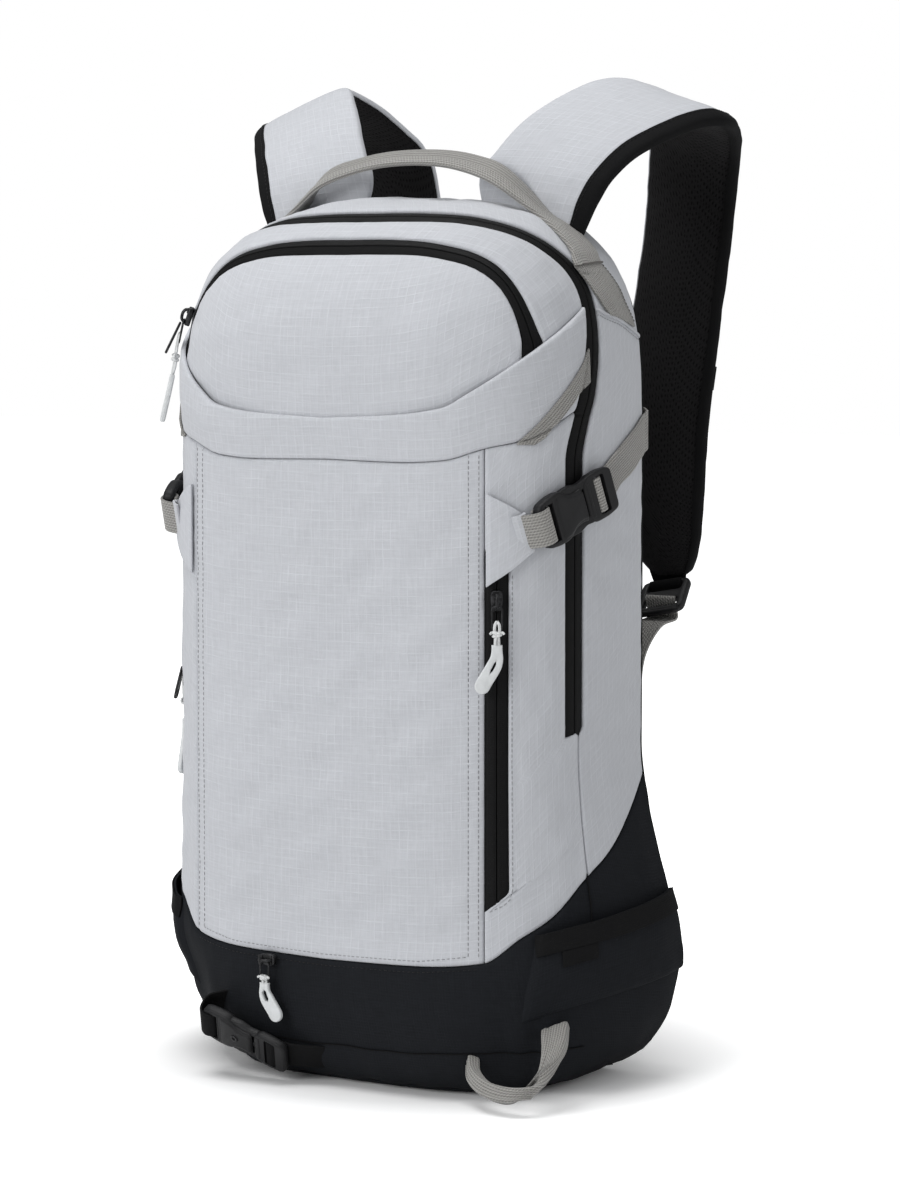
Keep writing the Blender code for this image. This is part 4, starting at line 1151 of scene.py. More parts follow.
def swell(made, rest, cap, pressure=4.0, frames=20):
    """Puffs a closed mesh with a short cloth simulation; no point moves more than cap."""
    cloth = made.modifiers.new("cloth", "CLOTH")
    cloth.settings.use_pressure = True
    cloth.settings.uniform_pressure_force = pressure
    cloth.settings.effector_weights.gravity = 0
    cloth.settings.quality = 4
    cloth.point_cache.frame_end = frames
    for number in range(1, frames + 1):
        bpy.context.scene.frame_set(number)
    graph = bpy.context.evaluated_depsgraph_get()
    moved = np.array([v.co for v in made.evaluated_get(graph).data.vertices])
    made.modifiers.clear()
    bpy.context.scene.frame_set(1)
    step = moved - rest
    size = np.linalg.norm(step, axis=1, keepdims=True)
    return rest + step * np.minimum(1, cap / np.maximum(size, 1e-9))


def pad(name, loop, place, thick, body, node, channels=(), cap=0.006, look="spacer_mesh",
        depth=0.0045, fill=0.6):
    """A foam pad under cloth: swollen, then pressed in along its sewn channels.

    loop is its outline in the frame's XY plane; channels are lines of points there.
    """
    made = hardware(name, plate([rounded(loop, 0.008)], thick, 0.0030), place, look, body, [node])
    inverse = np.array(place.inverted())
    points = remeshed(made)
    points = swell(made, points, cap)
    flat = points @ inverse[:3, :3].T + inverse[:3, 3]
    edge = np.array(rounded(loop, 0.008))
    inside = np.full(len(flat), 1.0)
    for a, b in zip(edge, np.roll(edge, -1, 0)):
        inside = np.minimum(inside, line_distance(flat, a, b))
    press = np.zeros(len(flat))
    for line in channels:
        for a, b in zip(line, line[1:]):
            near = line_distance(flat, np.array(a), np.array(b))
            press = np.maximum(press, depth * np.exp(-(near / 0.0032) ** 2))
    limit = thick / 2 + 0.0035
    crown = 0.0022 * (1 - np.exp(-inside / 0.02))
    high = flat[:, 2] > 0
    flat[:, 2] = np.where(high, np.minimum(flat[:, 2] + crown, limit) - press, flat[:, 2])
    flat[:, 2] = np.maximum(flat[:, 2], -thick / 2)
    forward = np.array(place)
    points = flat @ forward[:3, :3].T + forward[:3, 3]
    made.data.vertices.foreach_set("co", points.reshape(-1))
    made.data.shade_smooth()
    made.data.update()
    if "cloth" not in made.data.uv_layers:
        layer = made.data.uv_layers.new(name="cloth")
        corners = np.array([loop.vertex_index for loop in made.data.loops])
        layer.data.foreach_set("uv", flat[corners, :2].reshape(-1).astype(np.float32))
    finer = made.modifiers.new("finer", "SUBSURF")
    finer.levels = finer.render_levels = 1
    return made


def line_distance(points, a, b):
    """Distance in the XY plane from points to the stretch from a to b."""
    way = (b - a)[:2]
    t = np.clip(((points[:, :2] - a[:2]) @ way) / max(way @ way, 1e-12), 0, 1)
    return np.linalg.norm(points[:, :2] - a[:2] - t[:, None] * way, axis=1)


# ---- zip sliders and pulls ----

def track(turn, low, high, lift):
    """Frame on a zip track: X up the track, Z outwards, at the track's low end."""
    foot, head = spot(turn, low, lift), spot(turn, high, lift)
    return frame_at(foot, head - foot, Vector(outward(float(turn), (low + high) / 2)))


def hang(place, drop, stand, rest=None):
    """Frame of a pull hanging from a slider, straight down or towards rest."""
    normal = place.to_3x3() @ Vector((0, 0, 1))
    normal.z = 0
    origin = place @ Vector((0, 0, stand)) + Vector((0, 0, -drop))
    return frame_at(origin, rest - origin if rest else (0, 0, -1), normal)


def slider(name, place):
    body = rounded([(-0.0058, -0.0027), (0.0012, -0.0036), (0.0058, -0.0029), (0.0058, 0.0029),
                    (0.0012, 0.0036), (-0.0058, 0.0027)], 0.0018)
    crown = [(-0.0040, 0, 0.0012), (-0.0036, 0, 0.0030), (-0.0020, 0, 0.0042),
             (0.0010, 0, 0.0044), (0.0032, 0, 0.0034), (0.0040, 0, 0.0012)]
    wings = [plate([bar(x, x + 0.0026, 0.0030, 0.0006)], 0.0006, 0.0002, 0.0021)
             for x in (-0.0048, 0.0018)]
    shapes = [plate([body], 0.0034, 0.0008), tube(smooth_route(crown, 4), 0.0010)] + wings
    hardware(name + "_body", joined(shapes), place, "zip_slider", name, [name])


def grip_outline(start, length, bend, half=0.0044):
    """A finger grip: square shoulders, waist, bent and rounded end."""
    t = np.linspace(0, 1, 14)
    x = lerp(start, length - half, t)
    y = bend * ease(t, 0.25, 1.25) * 1.6
    slope = np.gradient(y, x)
    wide = np.interp(t, [0, 0.10, 0.22, 0.5, 1], [0.0031, 0.0030, 0.0033, half, half])
    side = np.stack([-slope, np.ones_like(slope)], -1) / np.hypot(1, slope)[:, None]
    middle = np.stack([x, y], -1)
    angle = np.arctan2(slope[-1], 1)
    cap = [middle[-1] + half * np.array([cos(angle + a), sin(angle + a)])
           for a in np.linspace(pi / 2, -pi / 2, 9)[1:-1]]
    outline = np.concatenate([middle + side * wide[:, None], cap,
                              (middle - side * wide[:, None])[::-1]])
    return [tuple(p) for p in outline], middle, side


def pull(name, place, length, grip, bend, eye=None, tab=False):
    """Wire bail, doubled cord with its knot, and a moulded grip; X runs down it."""
    start = length - grip
    wire = rounded([(-0.0036, -0.0030), (0.0105, -0.0026), (0.0105, 0.0026), (-0.0036, 0.0030)],
                   0.0022, 4)
    hardware(name + "_bail", tube([(x, y, 0.0002) for x, y in wire], 0.00055, 8, True), place,
             "zip_slider", name)
    outline, middle, side = grip_outline(start, length, bend)
    k, reach = (6, 3) if eye is None else (4, 4)
    wide = 0.0007 if eye is None else eye
    hole = [tuple(middle[k - 1])] + [tuple(middle[i] + side[i] * wide) for i in range(k, k + reach)]
    hole += [tuple(middle[k + reach])]
    hole += [tuple(middle[i] - side[i] * wide) for i in range(k + reach - 1, k - 1, -1)]
    hardware(name + "_grip", plate([outline, hole], 0.0030, 0.0009), place, "pull_grip", name,
             [name])
    cords = []
    for sign in (-1, 1):
        path = [(0.0045, 0, 0.0006), (0.0070, sign * 0.0013, 0.0010),
                (start * 0.62, sign * 0.0011, 0.0006),
                (start * 0.78, -sign * 0.0008, sign * 0.0004),
                (start + 0.0025, -sign * 0.0010, 0.0002)]
        cords.append(tube(smooth_route(path, 5), 0.0009, 8))
    for x, tilt in ((0.62, 0.5), (0.70, -0.4)):
        knot = [(start * x + 0.0010 * cos(a) * tilt, 0.0021 * cos(a), 0.0004 + 0.0017 * sin(a))
                for a in np.arange(12) * pi / 6]
        cords.append(tube(knot, 0.0009, 8, True))
    for sign in (-1, 1):
        tail = [(start * 0.66, sign * 0.0012, 0.0006), (start * 0.60, sign * 0.0030, 0.0012),
                (start * 0.66, sign * 0.0040, 0.0016)]
        cords.append(tube(smooth_route(tail, 4), 0.0007, 8))
    hardware(name + "_cord", joined(cords), place, "pull_cord", name)
    if tab:
        leaf = rounded([(-0.0020, -0.0018), (0.0140, -0.0026), (0.0190, -0.0020), (0.0190, 0.0020),
                        (0.0140, 0.0026), (-0.0020, 0.0018)], 0.0016)
        turn = place @ Matrix.Translation((0, 0, 0.0022)) @ Matrix.Rotation(radians(-14), 4, "Y")
        leaf = plate([leaf, oblong(0.0040, 0.0022, 0.0009, 0.0150)], 0.0014, 0.0004)
        hardware(name + "_tab", leaf, turn, "zip_slider", name)


def zip_hardware():
    stand, lift = 0.0042, 0.0024
    goggle = -(goggle_turn(0.452) + GOGGLE_ZIP_TURN / 2)
    for name, turn, run, length, grip, bend, tab in (
            ("front", 41.3, 0.2900, 0.046, 0.028, -0.0062, False),
            ("main_upper", -60.25, 0.2405, 0.064, 0.034, 0.0050, True),
            ("main_lower", -60.25, 0.2235, 0, 0, 0, False),
            ("goggle", goggle, 0.4520, 0.060, 0.030, -0.0048, True)):
        place = track(float(turn), run, run + 0.01, lift)
        slider(name + "_slider", place)
        if length:
            rest = spot(turn, run - length, 0.0118) if name == "goggle" else None
            pull(name + "_pull", hang(place, 0.0068, stand, rest), length, grip, bend, tab=tab)
    place = frame_at((-0.036, FRONT_Y - 0.0072, 0.0735), (1, 0, 0), (0, -1, 0))
    slider("base_slider", place)
    pull("base_pull", hang(place, 0.0045, stand - 0.0015), 0.0315, 0.0228, 0.0058, eye=0.0014)


# ---- buckles and webbing ----

def mirror_loop(half):
    """A closed outline from its upper half, which runs along X."""
    return half + [(x, -y) for x, y in reversed(half)]


def socket(name, place, body, length=0.036, width=0.030, thick=0.0084, slot_y=0.76):
    h = width / 2
    lower = rounded(mirror_loop([(0, h * 0.86), (length * 0.26, h), (length * 0.52, h),
                                 (length * 0.68, h * 0.70), (length * 0.86, h * 0.64),
                                 (length, h * 0.72)]), 0.0042)
    upper = rounded(mirror_loop([(length * 0.36, h * 0.90), (length * 0.54, h * 0.86),
                                 (length * 0.70, h * 0.60), (length * 0.86, h * 0.54),
                                 (length * 0.99, h * 0.62)]), 0.0036)
    shell = carve(plate([lower], thick * 0.84, thick * 0.24),
                  [plate([oblong(0.0074, width * slot_y, 0.0012, 0.0080)], 0.03, 0.0003),
                   plate([oblong(length * 0.7, width * 0.56, 0.001, length * 0.85)], thick * 0.46,
                         0.0003)])
    cap = carve(plate([upper], thick, thick * 0.22),
                [plate([oblong(length, width, 0.001, length / 2)], thick * 0.7, 0.0003,
                       -thick * 0.18)])
    ridge = plate([bar(length * 0.30, length * 0.325, h * 0.84, 0.0004)], thick * 0.9, 0.0003)
    hardware(name + "_body", joined([shell, cap, ridge]), place, "buckle_plastic", body, [name])


def clip(name, place, body, reach=0.022, width=0.030, ladder=0.024):
    h = width / 2
    frame_loop = rounded(mirror_loop([(-0.0002, h * 0.62), (0.0030, h * 0.94),
                                      (ladder * 0.6, h * 0.96), (ladder, h * 0.84)]), 0.0034)
    slot = oblong(ladder * 0.36, width * 0.76, 0.0014, ladder * 0.53)
    shell = carve(plate([frame_loop], 0.0054, 0.0015),
                  [plate([slot], 0.03, 0.0003)])
    prong = [(0.0030, h * 0.52), (0.0030, h * 0.90), (-0.0030, h * 0.84), (-reach * 0.45, h * 0.97),
             (-reach * 0.78, h * 0.94), (-reach * 0.93, h * 0.74), (-reach * 0.78, h * 0.64),
             (-reach * 0.3, h * 0.60)]
    prong = rounded(prong, 0.0016)
    shapes = [shell, plate([prong], 0.0040, 0.0009),
              plate([[(x, -y) for x, y in prong]], 0.0040, 0.0009),
              plate([rounded([(0.003, -0.0016), (0.003, 0.0016), (-reach * 0.8, 0.0012),
                              (-reach * 0.8, -0.0012)], 0.0006)], 0.0030, 0.0006),
              plate([bar(0.0022, 0.0044, h * 0.7, 0.0006)], 0.0062, 0.0006)]
    hardware(name + "_body", joined(shapes), place, "buckle_plastic", body, [name])


def compression_straps():
    head, foot = spot(48.0, 0.3310), spot(72.0, 0.3553)
    normal = Vector(outward(60.0, 0.343))
    along = (foot - head).normalized()
    for name, side in SIDES:
        place = frame_at(head + normal * 0.0094, along, normal)
        ahead = frame_at(head + along * 0.0372 + normal * 0.0094, along, normal)
        if side < 0:
            place, ahead = mirrored(place), mirrored(ahead)
        socket("compression_socket_" + name, place, "pack")
        clip("compression_clip_" + name, ahead, "compression_clip_" + name)

        # tab sewn into the front panel's seam
        u = np.concatenate([np.linspace(0, 1, 22), [1.012, 1.012]])
        v = np.linspace(0, 1, 22)
        turns = lerp(39.15, 48.7, u)[None, :] + 0 * v[:, None]
        low = through([(39.1, 0.2975), (44.0, 0.3069), (48.7, 0.3177)], turns)
        high = through([(39.1, 0.3507), (42.8, 0.3455), (46.2, 0.3396), (48.7, 0.3335)], turns)
        runs = lerp(low, high, v[:, None])
        out = outward(side * turns, runs)
        stand = np.interp(u, [0, 0.08, 0.5, 1.0, 1.011, 1.012],
                          [0.0010, 0.0021, 0.0027, 0.0036, 0.0036, 0.0036])
        stand[-1] -= 0.0022
        points = surface(side * turns, runs) + out * (stand + 0.0012)[None, :, None]
        sheet("compression_tab_cloth_" + name, points, grid_uv(points), "light_ripstop", "pack",
              0.0014, ["compression_tab_" + name], bevel=0.0004, out=out)
        inner = place.inverted() @ spot(side * 46.6, 0.3262, 0.0034)
        local_strip("compression_loop_" + name, place,
                    [(inner.x, inner.z), (-0.0030, 0.0008), (0.0008, 0.0042), (0.0044, 0.0044),
                     (0.0074, 0.0030), (0.0082, -0.0010), (0.0060, -0.0042), (0.0010, -0.0044)],
                    COMPRESSION_WIDTH, "pack")
        outer = place.inverted() @ spot(side * 45.2, 0.3262, 0.0036)
        hem = [(outer.x, outer.z), (inner.x - 0.0006, inner.z + 0.0010),
               (inner.x + 0.0028, inner.z + 0.0026),
               (inner.x + 0.0036, inner.z + 0.0022), (inner.x + 0.0038, inner.z + 0.0006)]
        local_strip("compression_hem_" + name, place, hem, 0.0214, "pack", look="light_ripstop")
        rows = []
        for x, z in ((outer.x * 0.4 + inner.x * 0.6, outer.z * 0.4 + inner.z * 0.6 + 0.0015),
                     (inner.x + 0.0014, inner.z + 0.0029)):
            line = [place @ Vector((x, y, z)) for y in np.linspace(-0.0100, 0.0100, 20)]
            up = np.array(place.to_3x3() @ Vector((-0.4, 0, 1)))
            rows.append((np.array([tuple(p) for p in line]), np.tile(up, (20, 1))))
        stitches("compression_hem_stitching_" + name, rows, "thread_grey", "pack", pitch=0.0018,
                 share=0.65, radius=0.0003)
        rear_webbing(name, side, ahead)


def rear_webbing(name, side, ahead):
    """Webbing from the clip's bar back to the pack's rear edge, where it turns behind."""
    knots = [(0.0070, -0.0030), (0.0082, 0.0006), (0.0102, 0.0020), (0.0130, 0.0022),
             (0.0152, 0.0006), (0.0168, -0.0030), (0.0205, -0.0040), (0.0245, -0.0044)]
    route = smooth_route([ahead @ Vector((x, 0, z)) for x, z in knots], 4)
    across = np.array(ahead.to_3x3() @ Vector((0, 1, 0)))
    first = route[:, None] + np.linspace(-0.5, 0.5, 9)[None, :, None] * across * COMPRESSION_WIDTH
    turn = np.linspace(74.5, 91.4, 16)
    centre = np.interp(turn, [66.5, 89.0], [0.3540, 0.3815])
    lines = []
    for k, t in enumerate(turn):
        edge = np.linspace(-0.5, 0.5, 9) * 0.0225 * side
        run = centre[k] + edge
        at = np.full(9, side * min(t, 89.9))
        out = outward(at, run)
        lines.append(laid(surface(at, run), out, 0.0016))
    lines = np.array(lines)
    if (first[-1, 0] - first[-1, -1]) @ (lines[0, 0] - lines[0, -1]) < 0:
        first = first[:, ::-1]
    turned = lines[-1] + np.array([0.0, 0.0030, 0.0012])
    around = np.array([0.0042 * side, 0.0050, 0.0030])
    back = np.array([-0.0030 * side, 0.0075, 0.0040])
    points = np.concatenate([first, lines, [turned, lines[-1] + around, lines[-1] + back,
                                            lines[-1] + back + [-0.012 * side, 0.0006, 0.003]]])
    knots = np.linspace(0, len(points) - 1, 60)
    smooth = np.stack([[np.interp(knots, np.arange(len(points)), points[:, j, k])
                        for k in range(3)] for j in range(9)]).transpose(2, 0, 1)
    for _ in range(3):
        smooth[1:-1] = (smooth[:-2] + 2 * smooth[1:-1] + smooth[2:]) / 4
    made = strip("compression_rear_" + name, smooth, None, replaced=["compression_webbing_" + name])
    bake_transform(made)


def base_strap():
    middle = Vector((-0.0500, -0.0925, 0.0245))
    along = Vector((0.055, 0.0025, -0.0190)).normalized()
    normal = Vector((0, -1, -0.65))
    place = frame_at(middle - along * 0.031, along, normal)
    ahead = frame_at(middle + along * 0.0062, along, normal)
    socket("base_socket", place, "pack", 0.036, 0.026, 0.008)
    clip("base_clip", ahead, "base_clip", 0.022, 0.026, 0.022)
    rivet = [(0.0240 + 0.0024 * cos(a), 0.0024 * sin(a)) for a in np.arange(16) * pi / 8]
    eye = plate([rivet, oblong(0.0022, 0.0022, 0.0010, 0.0240)], 0.0014, 0.0004, 0.0040)
    hardware("base_socket_eye", eye, place, "zip_slider", "pack")
    rear = [(0.0130, -0.0270), (0.0030, -0.0180), (-0.0040, -0.0090), (-0.0025, 0.0005),
            (0.0010, 0.0040), (0.0046, 0.0042), (0.0078, 0.0020), (0.0082, -0.0020)]
    front = [(0.0070, -0.0030), (0.0086, 0.0010), (0.0120, 0.0022), (0.0150, 0.0006),
             (0.0170, -0.0030), (0.0225, -0.0046), (0.0300, -0.0080), (0.0400, -0.0140)]
    local_strip("base_strap_rear", place, rear, BASE_STRAP_WIDTH, "pack", look="binding")
    made = local_strip("base_strap_front", ahead, front, BASE_STRAP_WIDTH, None, look="binding")
    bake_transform(made)


def yoke_webbing():
    for name, side in SIDES:
        t = np.linspace(0, 1, 40)
        bends = [0, 0.12, 0.30, 0.72, 1]
        v = np.linspace(0, 1, 9)[None, :]
        turn = lerp(np.interp(t, [0, 1], [45.4, 64.9])[:, None],
                    np.interp(t, bends, [49.2, 51.5, 53.9, 61.0, 64.7])[:, None], v)
        run = lerp(np.interp(t, [0, 1], [0.3785, 0.4302])[:, None],
                   np.interp(t, bends, [0.3780, 0.3815, 0.3881, 0.4064, 0.4120])[:, None], v)
        out = outward(side * turn, run)
        points = laid(surface(side * turn, run), out, 0.0010)
        strip("yoke_webbing_" + name, points, "lid", thickness=0.0013)


# ---- handle and loop ----

def grooved(thick, grooves, depth, count=44):
    """Flat profile with lengthwise grooves, for folded and sewn webbing."""
    ring = superellipse(count, thick / 2, 5)
    for g in grooves:
        dip = depth * np.exp(-((ring[:, 0] - g) / 0.13) ** 2)
        ring[:, 1] -= np.sign(ring[:, 1]) * dip * (abs(ring[:, 1]) > thick * 0.3)
    return ring


def haul_handle():
    feet = []
    for run, low, high, lift in ((0.4735, 67.9, 79.8, 0.0016), (0.4775, 68.4, 80.2, 0.0018),
                                 (0.4815, 69.4, 80.6, 0.0024), (0.4900, 70.4, 80.6, 0.0022),
                                 (0.5010, 71.4, 80.6, 0.0022), (0.5130, 72.4, 80.2, 0.0030)):
        a, b = np.array(spot(low, run, lift)), np.array(spot(high, run, lift))
        feet.append(((a + b) / 2, b - a))
    arch = [((0.0640, 0.0100, 0.5310), (0.0, 0.0135, 0.0100)),
            ((0.0420, 0.0125, 0.5395), (0.0, 0.0135, 0.0095)),
            ((0.0160, 0.0145, 0.5440), (0.0, 0.0135, 0.0085))]
    centres = [f[0] for f in feet] + [np.array(p) for p, _ in arch]
    acrosses = [f[1] for f in feet] + [np.array(w) for _, w in arch]
    flip = np.array([-1, 1, 1])
    centres = smooth_route(centres + [c * flip for c in reversed(centres)], 5)
    acrosses = smooth_route(acrosses + [a * flip for a in reversed(acrosses)], 5)
    made = loft("haul_handle_webbing", centres, acrosses, grooved(0.0034, (-0.1,), 0.0013),
                "webbing", replaced=["haul_handle"])
    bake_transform(made)
    for name, side in SIDES:
        t, v = np.linspace(0, 1, 26)[:, None], np.linspace(0, 1, 9)[None, :]
        left_turn = np.interp(t, [0, 0.55, 1], [67.9, 71.3, 75.1]) + 0 * v
        left_run = np.interp(t, [0, 0.55, 1], [0.4738, 0.4583, 0.4462]) + 0 * v
        right_turn = np.interp(t, [0, 0.5, 1], [79.8, 84.0, 86.6]) + 0 * v
        right_run = np.interp(t, [0, 0.5, 1], [0.4746, 0.4579, 0.4400]) + 0 * v
        turn, run = side * lerp(left_turn, right_turn, v), lerp(left_run, right_run, v)
        foot = laid(surface(turn, run), outward(turn, run), 0.0010)
        strip("handle_foot_" + name, foot, "pack", thickness=0.0013)
        line = skin_line([side * 67.3, side * 80.2], [0.4733, 0.4745], 40, 0.0022)
        tack = tube(line[0], 0.0006, 8)
        hardware("handle_bar_tack_" + name, tack, Matrix(), "thread_web", "pack")
        edge = skin_line([side * t for t in (79.3, 83.3, 85.9)], [0.4735, 0.4575, 0.4425], 60,
                         0.0021)
        stitches("handle_stitching_" + name, [edge], "thread_web", "pack", pitch=0.0022)
        seam = skin_line([side * t for t in (70.9, 75.4, 82, 89.6)],
                         [0.4500, 0.4461, 0.4415, 0.4353], 90, 0.0004)
        welt = tube(seam[0], 0.0011, 8, flat=0.8)
        hardware("dart_seam_" + name, welt, Matrix(), "light_ripstop", "pack")
        under = skin_line([side * t for t in (70.9, 75.4, 82, 89.4)],
                          [0.4472, 0.4433, 0.4388, 0.4327], 90)
        stitches("dart_stitching_" + name, [under], "thread_grey", "pack", pitch=0.0022)


def ski_loop():
    route = smooth_route([(0.0940, -0.0740, 0.0235), (0.0995, -0.0815, 0.0175),
                          (0.1130, -0.0900, 0.0130), (0.1300, -0.0930, 0.0118),
                          (0.1405, -0.0885, 0.0150), (0.1450, -0.0785, 0.0240),
                          (0.1450, -0.0690, 0.0335), (0.1350, -0.0500, 0.0425)], 6)
    t = np.linspace(0, 1, len(route))[:, None]
    across = np.concatenate([0.15 + 0.55 * t, 0.25 + 0.3 * t, 1 - 0.7 * t], 1)
    across /= np.linalg.norm(across, axis=1, keepdims=True)
    width = np.interp(t, [0, 0.3, 0.6, 1], [0.0080, 0.0090, 0.0125, 0.0165])
    loft("ski_loop_webbing", route, -across * width, grooved(0.0074, (-0.3, 0.35), 0.0013),
         "webbing", "ski_loop", ["ski_loop"])


# ---- shoulder straps ----

STRAP_ROUTE = [((0.078, 0.027, 0.524), 10, 0.079), ((0.086, 0.033, 0.540), 11, 0.079),
               ((0.099, 0.048, 0.558), 15, 0.078), ((0.120, 0.075, 0.5745), 20, 0.075),
               ((0.131, 0.100, 0.5765), 20, 0.071), ((0.123, 0.136, 0.5665), 14, 0.064),
               ((0.110, 0.163, 0.544), 7, 0.059), ((0.105, 0.165, 0.505), 2, 0.058),
               ((0.105, 0.152, 0.455), 0, 0.059), ((0.105, 0.136, 0.400), 0, 0.060),
               ((0.106, 0.128, 0.345), 0, 0.058), ((0.1095, 0.128, 0.314), 0, 0.046),
               ((0.112, 0.130, 0.297), 0, 0.030), ((0.1125, 0.131, 0.2925), 0, 0.020)]
STRAP_FOOT = (0.123, 0.058, 0.140)
STRAP_POWER = 3.2         # how square the strap's rounded section is
STERNUM_STATIONS = (9, 8) # the sternum strap sits between these two, from below


def shoulder_strap(name, side):
    body = "strap_" + name
    route = [((0.0765, 0.0265, 0.4990), 6, 0.060)] + STRAP_ROUTE
    centres = smooth_route([p for p, _, _ in route], 9)
    tilts = smooth_route([(tilt, width) for _, tilt, width in route], 9)
    angle = np.radians(tilts[:, 0])
    across = np.stack([np.cos(angle), 0 * angle, -np.sin(angle)], -1) * tilts[:, 1:]
    flip = np.array([side, 1, 1])
    centres, across = centres * flip, across * flip
    if side < 0:
        across = -across

    def folds(points):
        wave = 0.0006 * ripple(points, 0.05, 51 + side) + 0.0003 * ripple(points, 0.018, 61 + side)
        return wave[..., None] * np.array([0.3, 0.8, 0.6])

    def profile(lift, start, stop, count):
        ring = superellipse(count, 0.0050 + lift, STRAP_POWER, start, stop, closed=False)
        ring[:, 0] *= side
        return ring
    core = loft("shoulder_strap_core_" + name, centres, across,
                superellipse(56, 0.0046, STRAP_POWER), "spacer_mesh", body,
                ["shoulder_strap_" + name], folds)

    along = np.gradient(centres, axis=0)
    normal = np.cross(across, along)
    normal /= np.linalg.norm(normal, axis=1, keepdims=True)
    size = np.linalg.norm(across, axis=1)[:, None]

    def skin_of(ring, grow):
        half = (size / 2 + grow)[:, None] / (size / 2)[:, None]
        points = centres[:, None] + across[:, None] / 2 * ring[None, :, :1] * half \
            + normal[:, None] * ring[None, :, 1:]
        return points + folds(points)
    cover = skin_of(profile(0.0006, radians(48), radians(188), 40), 0.0006)
    sheet("strap_cover_" + name, cover, grid_uv(cover), "light_ripstop", body, 0.0008,
          out=cover - centres[:, None])
    fine = np.radians(np.concatenate([[52, 50.5], np.linspace(49, -38, 26), [-40, -41]]))
    ring = rim_points(fine, 0.0062, STRAP_POWER)
    ring[:, 0] *= side
    ring[0, 1] -= 0.0008
    ring[-1, 1] += 0.0008
    edge = skin_of(ring, 0.0013)
    sheet("strap_binding_" + name, edge, grid_uv(edge), "binding", body, 0.0009,
          out=edge - centres[:, None])
    rim = edge[:, 3]
    stitches("strap_stitching_" + name, [(rim + normal * 0.0001, normal)], "thread_black", body,
             pitch=0.0030)

    low = Vector(STRAP_ROUTE[-1][0])
    foot = Vector(STRAP_FOOT)
    lock = low + Vector((0.0030, -0.0150, -0.0135))
    place = frame_at(lock, low - lock, (0, -1, 0.2))
    if side < 0:
        place = mirrored(place)
    outer = rounded(mirror_loop([(-0.0135, 0.0120), (-0.0110, 0.0160), (0.0110, 0.0160),
                                 (0.0130, 0.0130)]), 0.0030)
    slots = [oblong(0.0050, 0.0225, 0.0012, x) for x in (-0.0066, 0.0066)]
    shapes = [plate([outer] + slots, 0.0048, 0.0014)]
    lip = [(-0.0128, -0.0125, 0.0008), (-0.0150, -0.0110, 0.0022), (-0.0150, 0.0110, 0.0022),
           (-0.0128, 0.0125, 0.0008)]
    shapes.append(tube(smooth_route(lip, 6), 0.0019, 10))
    hardware("ladder_lock_body_" + name, joined(shapes), place, "buckle_plastic", body,
             ["ladder_lock_" + name])
    start = place.inverted() @ Vector((side * low.x, low.y + 0.001, low.z + 0.010))
    local_strip("strap_tail_" + name, place,
                [(start.x, start.z), (start.x * 0.75, start.z * 0.8), (0.0150, -0.0010),
                 (0.0108, 0.0034), (0.0072, 0.0010), (0.0070, -0.0030), (0.0110, -0.0042),
                 (start.x * 0.7, start.z * 0.6 - 0.0040)], 0.0210, body, look="binding",
                narrow=([0, 0.3, 1], [1.35, 1.0, 1.0]))
    route = [place @ Vector((x, 0, z)) for x, z in ((0.0010, -0.0030), (-0.0030, 0.0034),
                                                    (-0.0075, -0.0010), (-0.0130, -0.0050))]
    sided = Matrix.Diagonal((side, 1, 1))
    route += [sided @ p for p in (lock + Vector((-0.0010, -0.0205, -0.0165)),
                                  Vector((0.112, 0.080, 0.245)), Vector((0.116, 0.068, 0.219)),
                                  Vector((0.121, 0.060, 0.184)), foot,
                                  foot + Vector((0.002, -0.002, -0.012)))]
    route = smooth_route([tuple(p) for p in route], 6)
    wide = np.linspace(-0.5, 0.5, 9)[None, :, None] * np.array([0.020, 0, 0])
    strip("strap_webbing_cloth_" + name, route[:, None] + wide, body,
          replaced=["strap_webbing_" + name])


def sternum_straps():
    for name, side in SIDES:
        low, high = (Vector(STRAP_ROUTE[k][0]) for k in STERNUM_STATIONS)
        rise = (high - low).normalized()
        normal = Vector((1, 0, 0)).cross(rise).normalized()
        normal = -normal if normal.y < 0 else normal
        level = low.lerp(high, 0.25) + normal * 0.0078
        place = frame_at((side * 0.104, level.y, level.z), (1, 0, 0), normal)
        path = [(side * x, z) for x, z in ((0.030, -0.0016), (0.024, 0.0002), (0, 0.0004),
                                           (-0.030, 0.0004), (-0.054, 0.0), (-0.0590, -0.0002))]
        local_strip("sternum_cloth_" + name, place, path, STERNUM_WIDTH, "sternum_" + name,
                    replaced=["sternum_webbing_" + name], look="binding", columns=7)
        at = Vector((side * (0.104 - 0.0546), level.y, level.z))
        along = Vector((-side, 0, 0))
        if side > 0:
            socket("sternum_socket", frame_at(at, along, normal), "sternum_right", 0.030, 0.022,
                   0.007)
        else:
            turned = frame_at(at + Vector((0.0206, 0, 0)), (-1, 0, 0), normal)
            clip("sternum_clip", turned, "sternum_left", 0.020, 0.022, 0.020)


# ---- back and inside ----

def upright(y):
    """Sets an outline drawn in XY upright in the XZ plane, its Z towards the wearer."""
    return Matrix(((-1, 0, 0, 0), (0, 0, 1, y), (0, 1, 0, 0), (0, 0, 0, 1)))


def flip_x(points):
    return [(-x, y) for x, y in points]


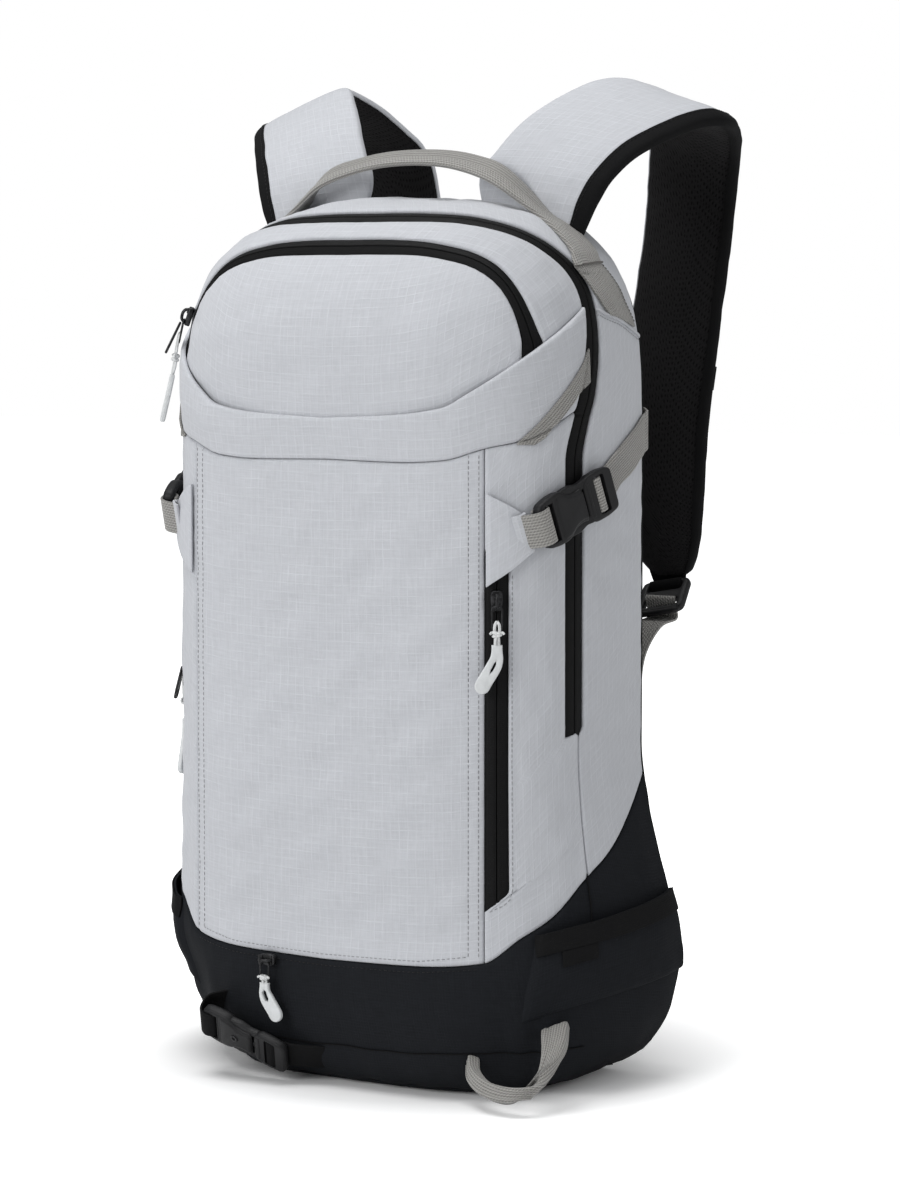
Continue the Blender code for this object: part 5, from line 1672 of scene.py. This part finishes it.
def back_side():
    us = np.linspace(-1, 1, 70)
    vs = np.concatenate([np.linspace(0.0035, SPINE_TOP, 90),
                         np.linspace(SPINE_TOP, RUN_TOP - 0.0008, 60)[1:]])
    rim = surface(89.999, vs)
    rim[:, 2] -= 0.0014 * ease(rim[:, 2], 0.42, 0.47)
    points = np.zeros((len(vs), len(us), 3))
    points[..., 0] = (rim[:, 0] - 0.0016)[:, None] * us[None, :]
    points[..., 2] = rim[:, 2][:, None]
    inset = np.minimum((1 - abs(us))[None, :] * rim[:, :1], (rim[:, 2][:, None] - 0.003))
    points[..., 1] = BACK_Y + 0.0008 + 0.0022 * (1 - np.exp(-np.maximum(inset, 0) / 0.008))
    wave = ripple(points, 0.06, 71) * 0.0007 + ripple(points, 0.02, 72) * 0.0002
    points[..., 1] += wave * ease(inset, 0, 0.02)
    uv = np.stack([points[..., 0], points[..., 2]], -1)
    out = np.zeros_like(points)
    out[..., 1] = 1
    sheet("back_cloth", points, uv, "black_fabric", "pack", 0.0010, ["back_wall"], out=out)
    edge = surface(89.9, np.linspace(0.004, RUN_TOP, 220)) * [0.985, 1, 1] + [0, 0.0016, 0]
    edge[:, 2] -= 0.0030 * ease(edge[:, 2], 0.42, 0.47)
    whole = np.concatenate([edge, edge[::-1] * [-1, 1, 1]])
    binding = tube(whole, 0.0013, 10)
    hardware("back_binding", binding, Matrix(), "binding", "pack")

    low = [(-0.118, 0.037), (0.118, 0.037), (0.118, 0.147), (-0.118, 0.147)]
    pad("lumbar_cushion", low, upright(BACK_Y + 0.0110), 0.014, "pack", "lumbar_pad",
        channels=[[(x, 0.045), (x, 0.139)] for x in (-0.045, 0.045)], cap=0.005)
    half = [(0.105, 0.162), (0.108, 0.24), (0.108, 0.34), (0.104, 0.40), (0.092, 0.445),
            (0.074, 0.472), (0.050, 0.484), (0.022, 0.488)]
    loop = half + [(-x, z) for x, z in reversed(half)]
    rows = [[(-0.100, z), (-0.02, z - 0.012), (0.02, z - 0.012), (0.100, z)]
            for z in (0.225, 0.290, 0.355, 0.420)]
    rows.append([(0, 0.166), (0, 0.484)])
    pad("back_cushion", loop, upright(BACK_Y + 0.0100), 0.012, "pack", "back_pad", channels=rows,
        cap=0.005)


def hip_belt():
    hinge_x, y = 0.137, BACK_Y + 0.0245
    tip_x = 0.058
    for name, side in SIDES:
        body = "hip_" + name
        loop = [(hinge_x, 0.052), (hinge_x, 0.122), (0.100, 0.118), (tip_x, 0.099), (tip_x, 0.073),
                (0.100, 0.054)]
        loop = [(side * x, z) for x, z in loop]
        line = [[(side * 0.128, 0.087), (side * 0.066, 0.086)]]
        pad("hip_cushion_" + name, flip_x(loop), upright(y), 0.007, body, "hip_wing_" + name,
            channels=[flip_x(line[0])], cap=0.003, depth=0.002)
        at = Vector((side * (tip_x - 0.001), y, 0.086))
        if side > 0:
            place = frame_at(at, (-1, 0, 0), (0, 1, 0))
            socket("hip_socket", place, body, 0.040, 0.036, 0.008)
        else:
            place = frame_at(at + Vector((0.0268, 0, 0)), (-1, 0, 0), (0, 1, 0))
            clip("hip_clip", place, body, 0.024, 0.036, 0.026)


def floor_cloth():
    turn = np.linspace(-90, 90, 121)
    rim = surface(turn, np.full(turn.shape, 0.0030))
    rear = [[x, BACK_Y, 0.003] for x in (0.12, 0.04, -0.04, -0.12)]
    rim = np.concatenate([rim, rear])
    middle = rim.mean(0)
    rows = np.array([lerp(middle, rim, s) for s in (0.03, 0.25, 0.5, 0.75, 0.9, 1.0)])
    rows[..., 2] = np.array([0.0006, 0.0006, 0.0006, 0.0006, 0.0010, 0.0030])[:, None]
    sheet("floor_panel", rows, rows[..., :2], "black_fabric", "pack", 0.0006, ["base_floor"],
          offset=0, wrap=True)


def inner_looks():
    """Better materials on the CAD pieces that keep their shapes."""
    looks = {"divider": "inner_lining", "hydration_sleeve": "inner_lining",
             "tool_sleeve": "inner_lining", "frame_sheet": "frame_plastic",
             "aluminium_stay": "stay_aluminium"}
    for node, look in looks.items():
        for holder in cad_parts[node].material_slots:
            holder.material = LOOKS[look]


studio()
front_panel()
side_panels()
gusset()
base_shell()
side_pockets()
lid_panels()
zips()
yoke_webbing()
haul_handle()
ski_loop()
compression_straps()
base_strap()
zip_hardware()
for name, side in SIDES:
    shoulder_strap(name, side)
sternum_straps()
back_side()
hip_belt()
floor_cloth()
inner_looks()
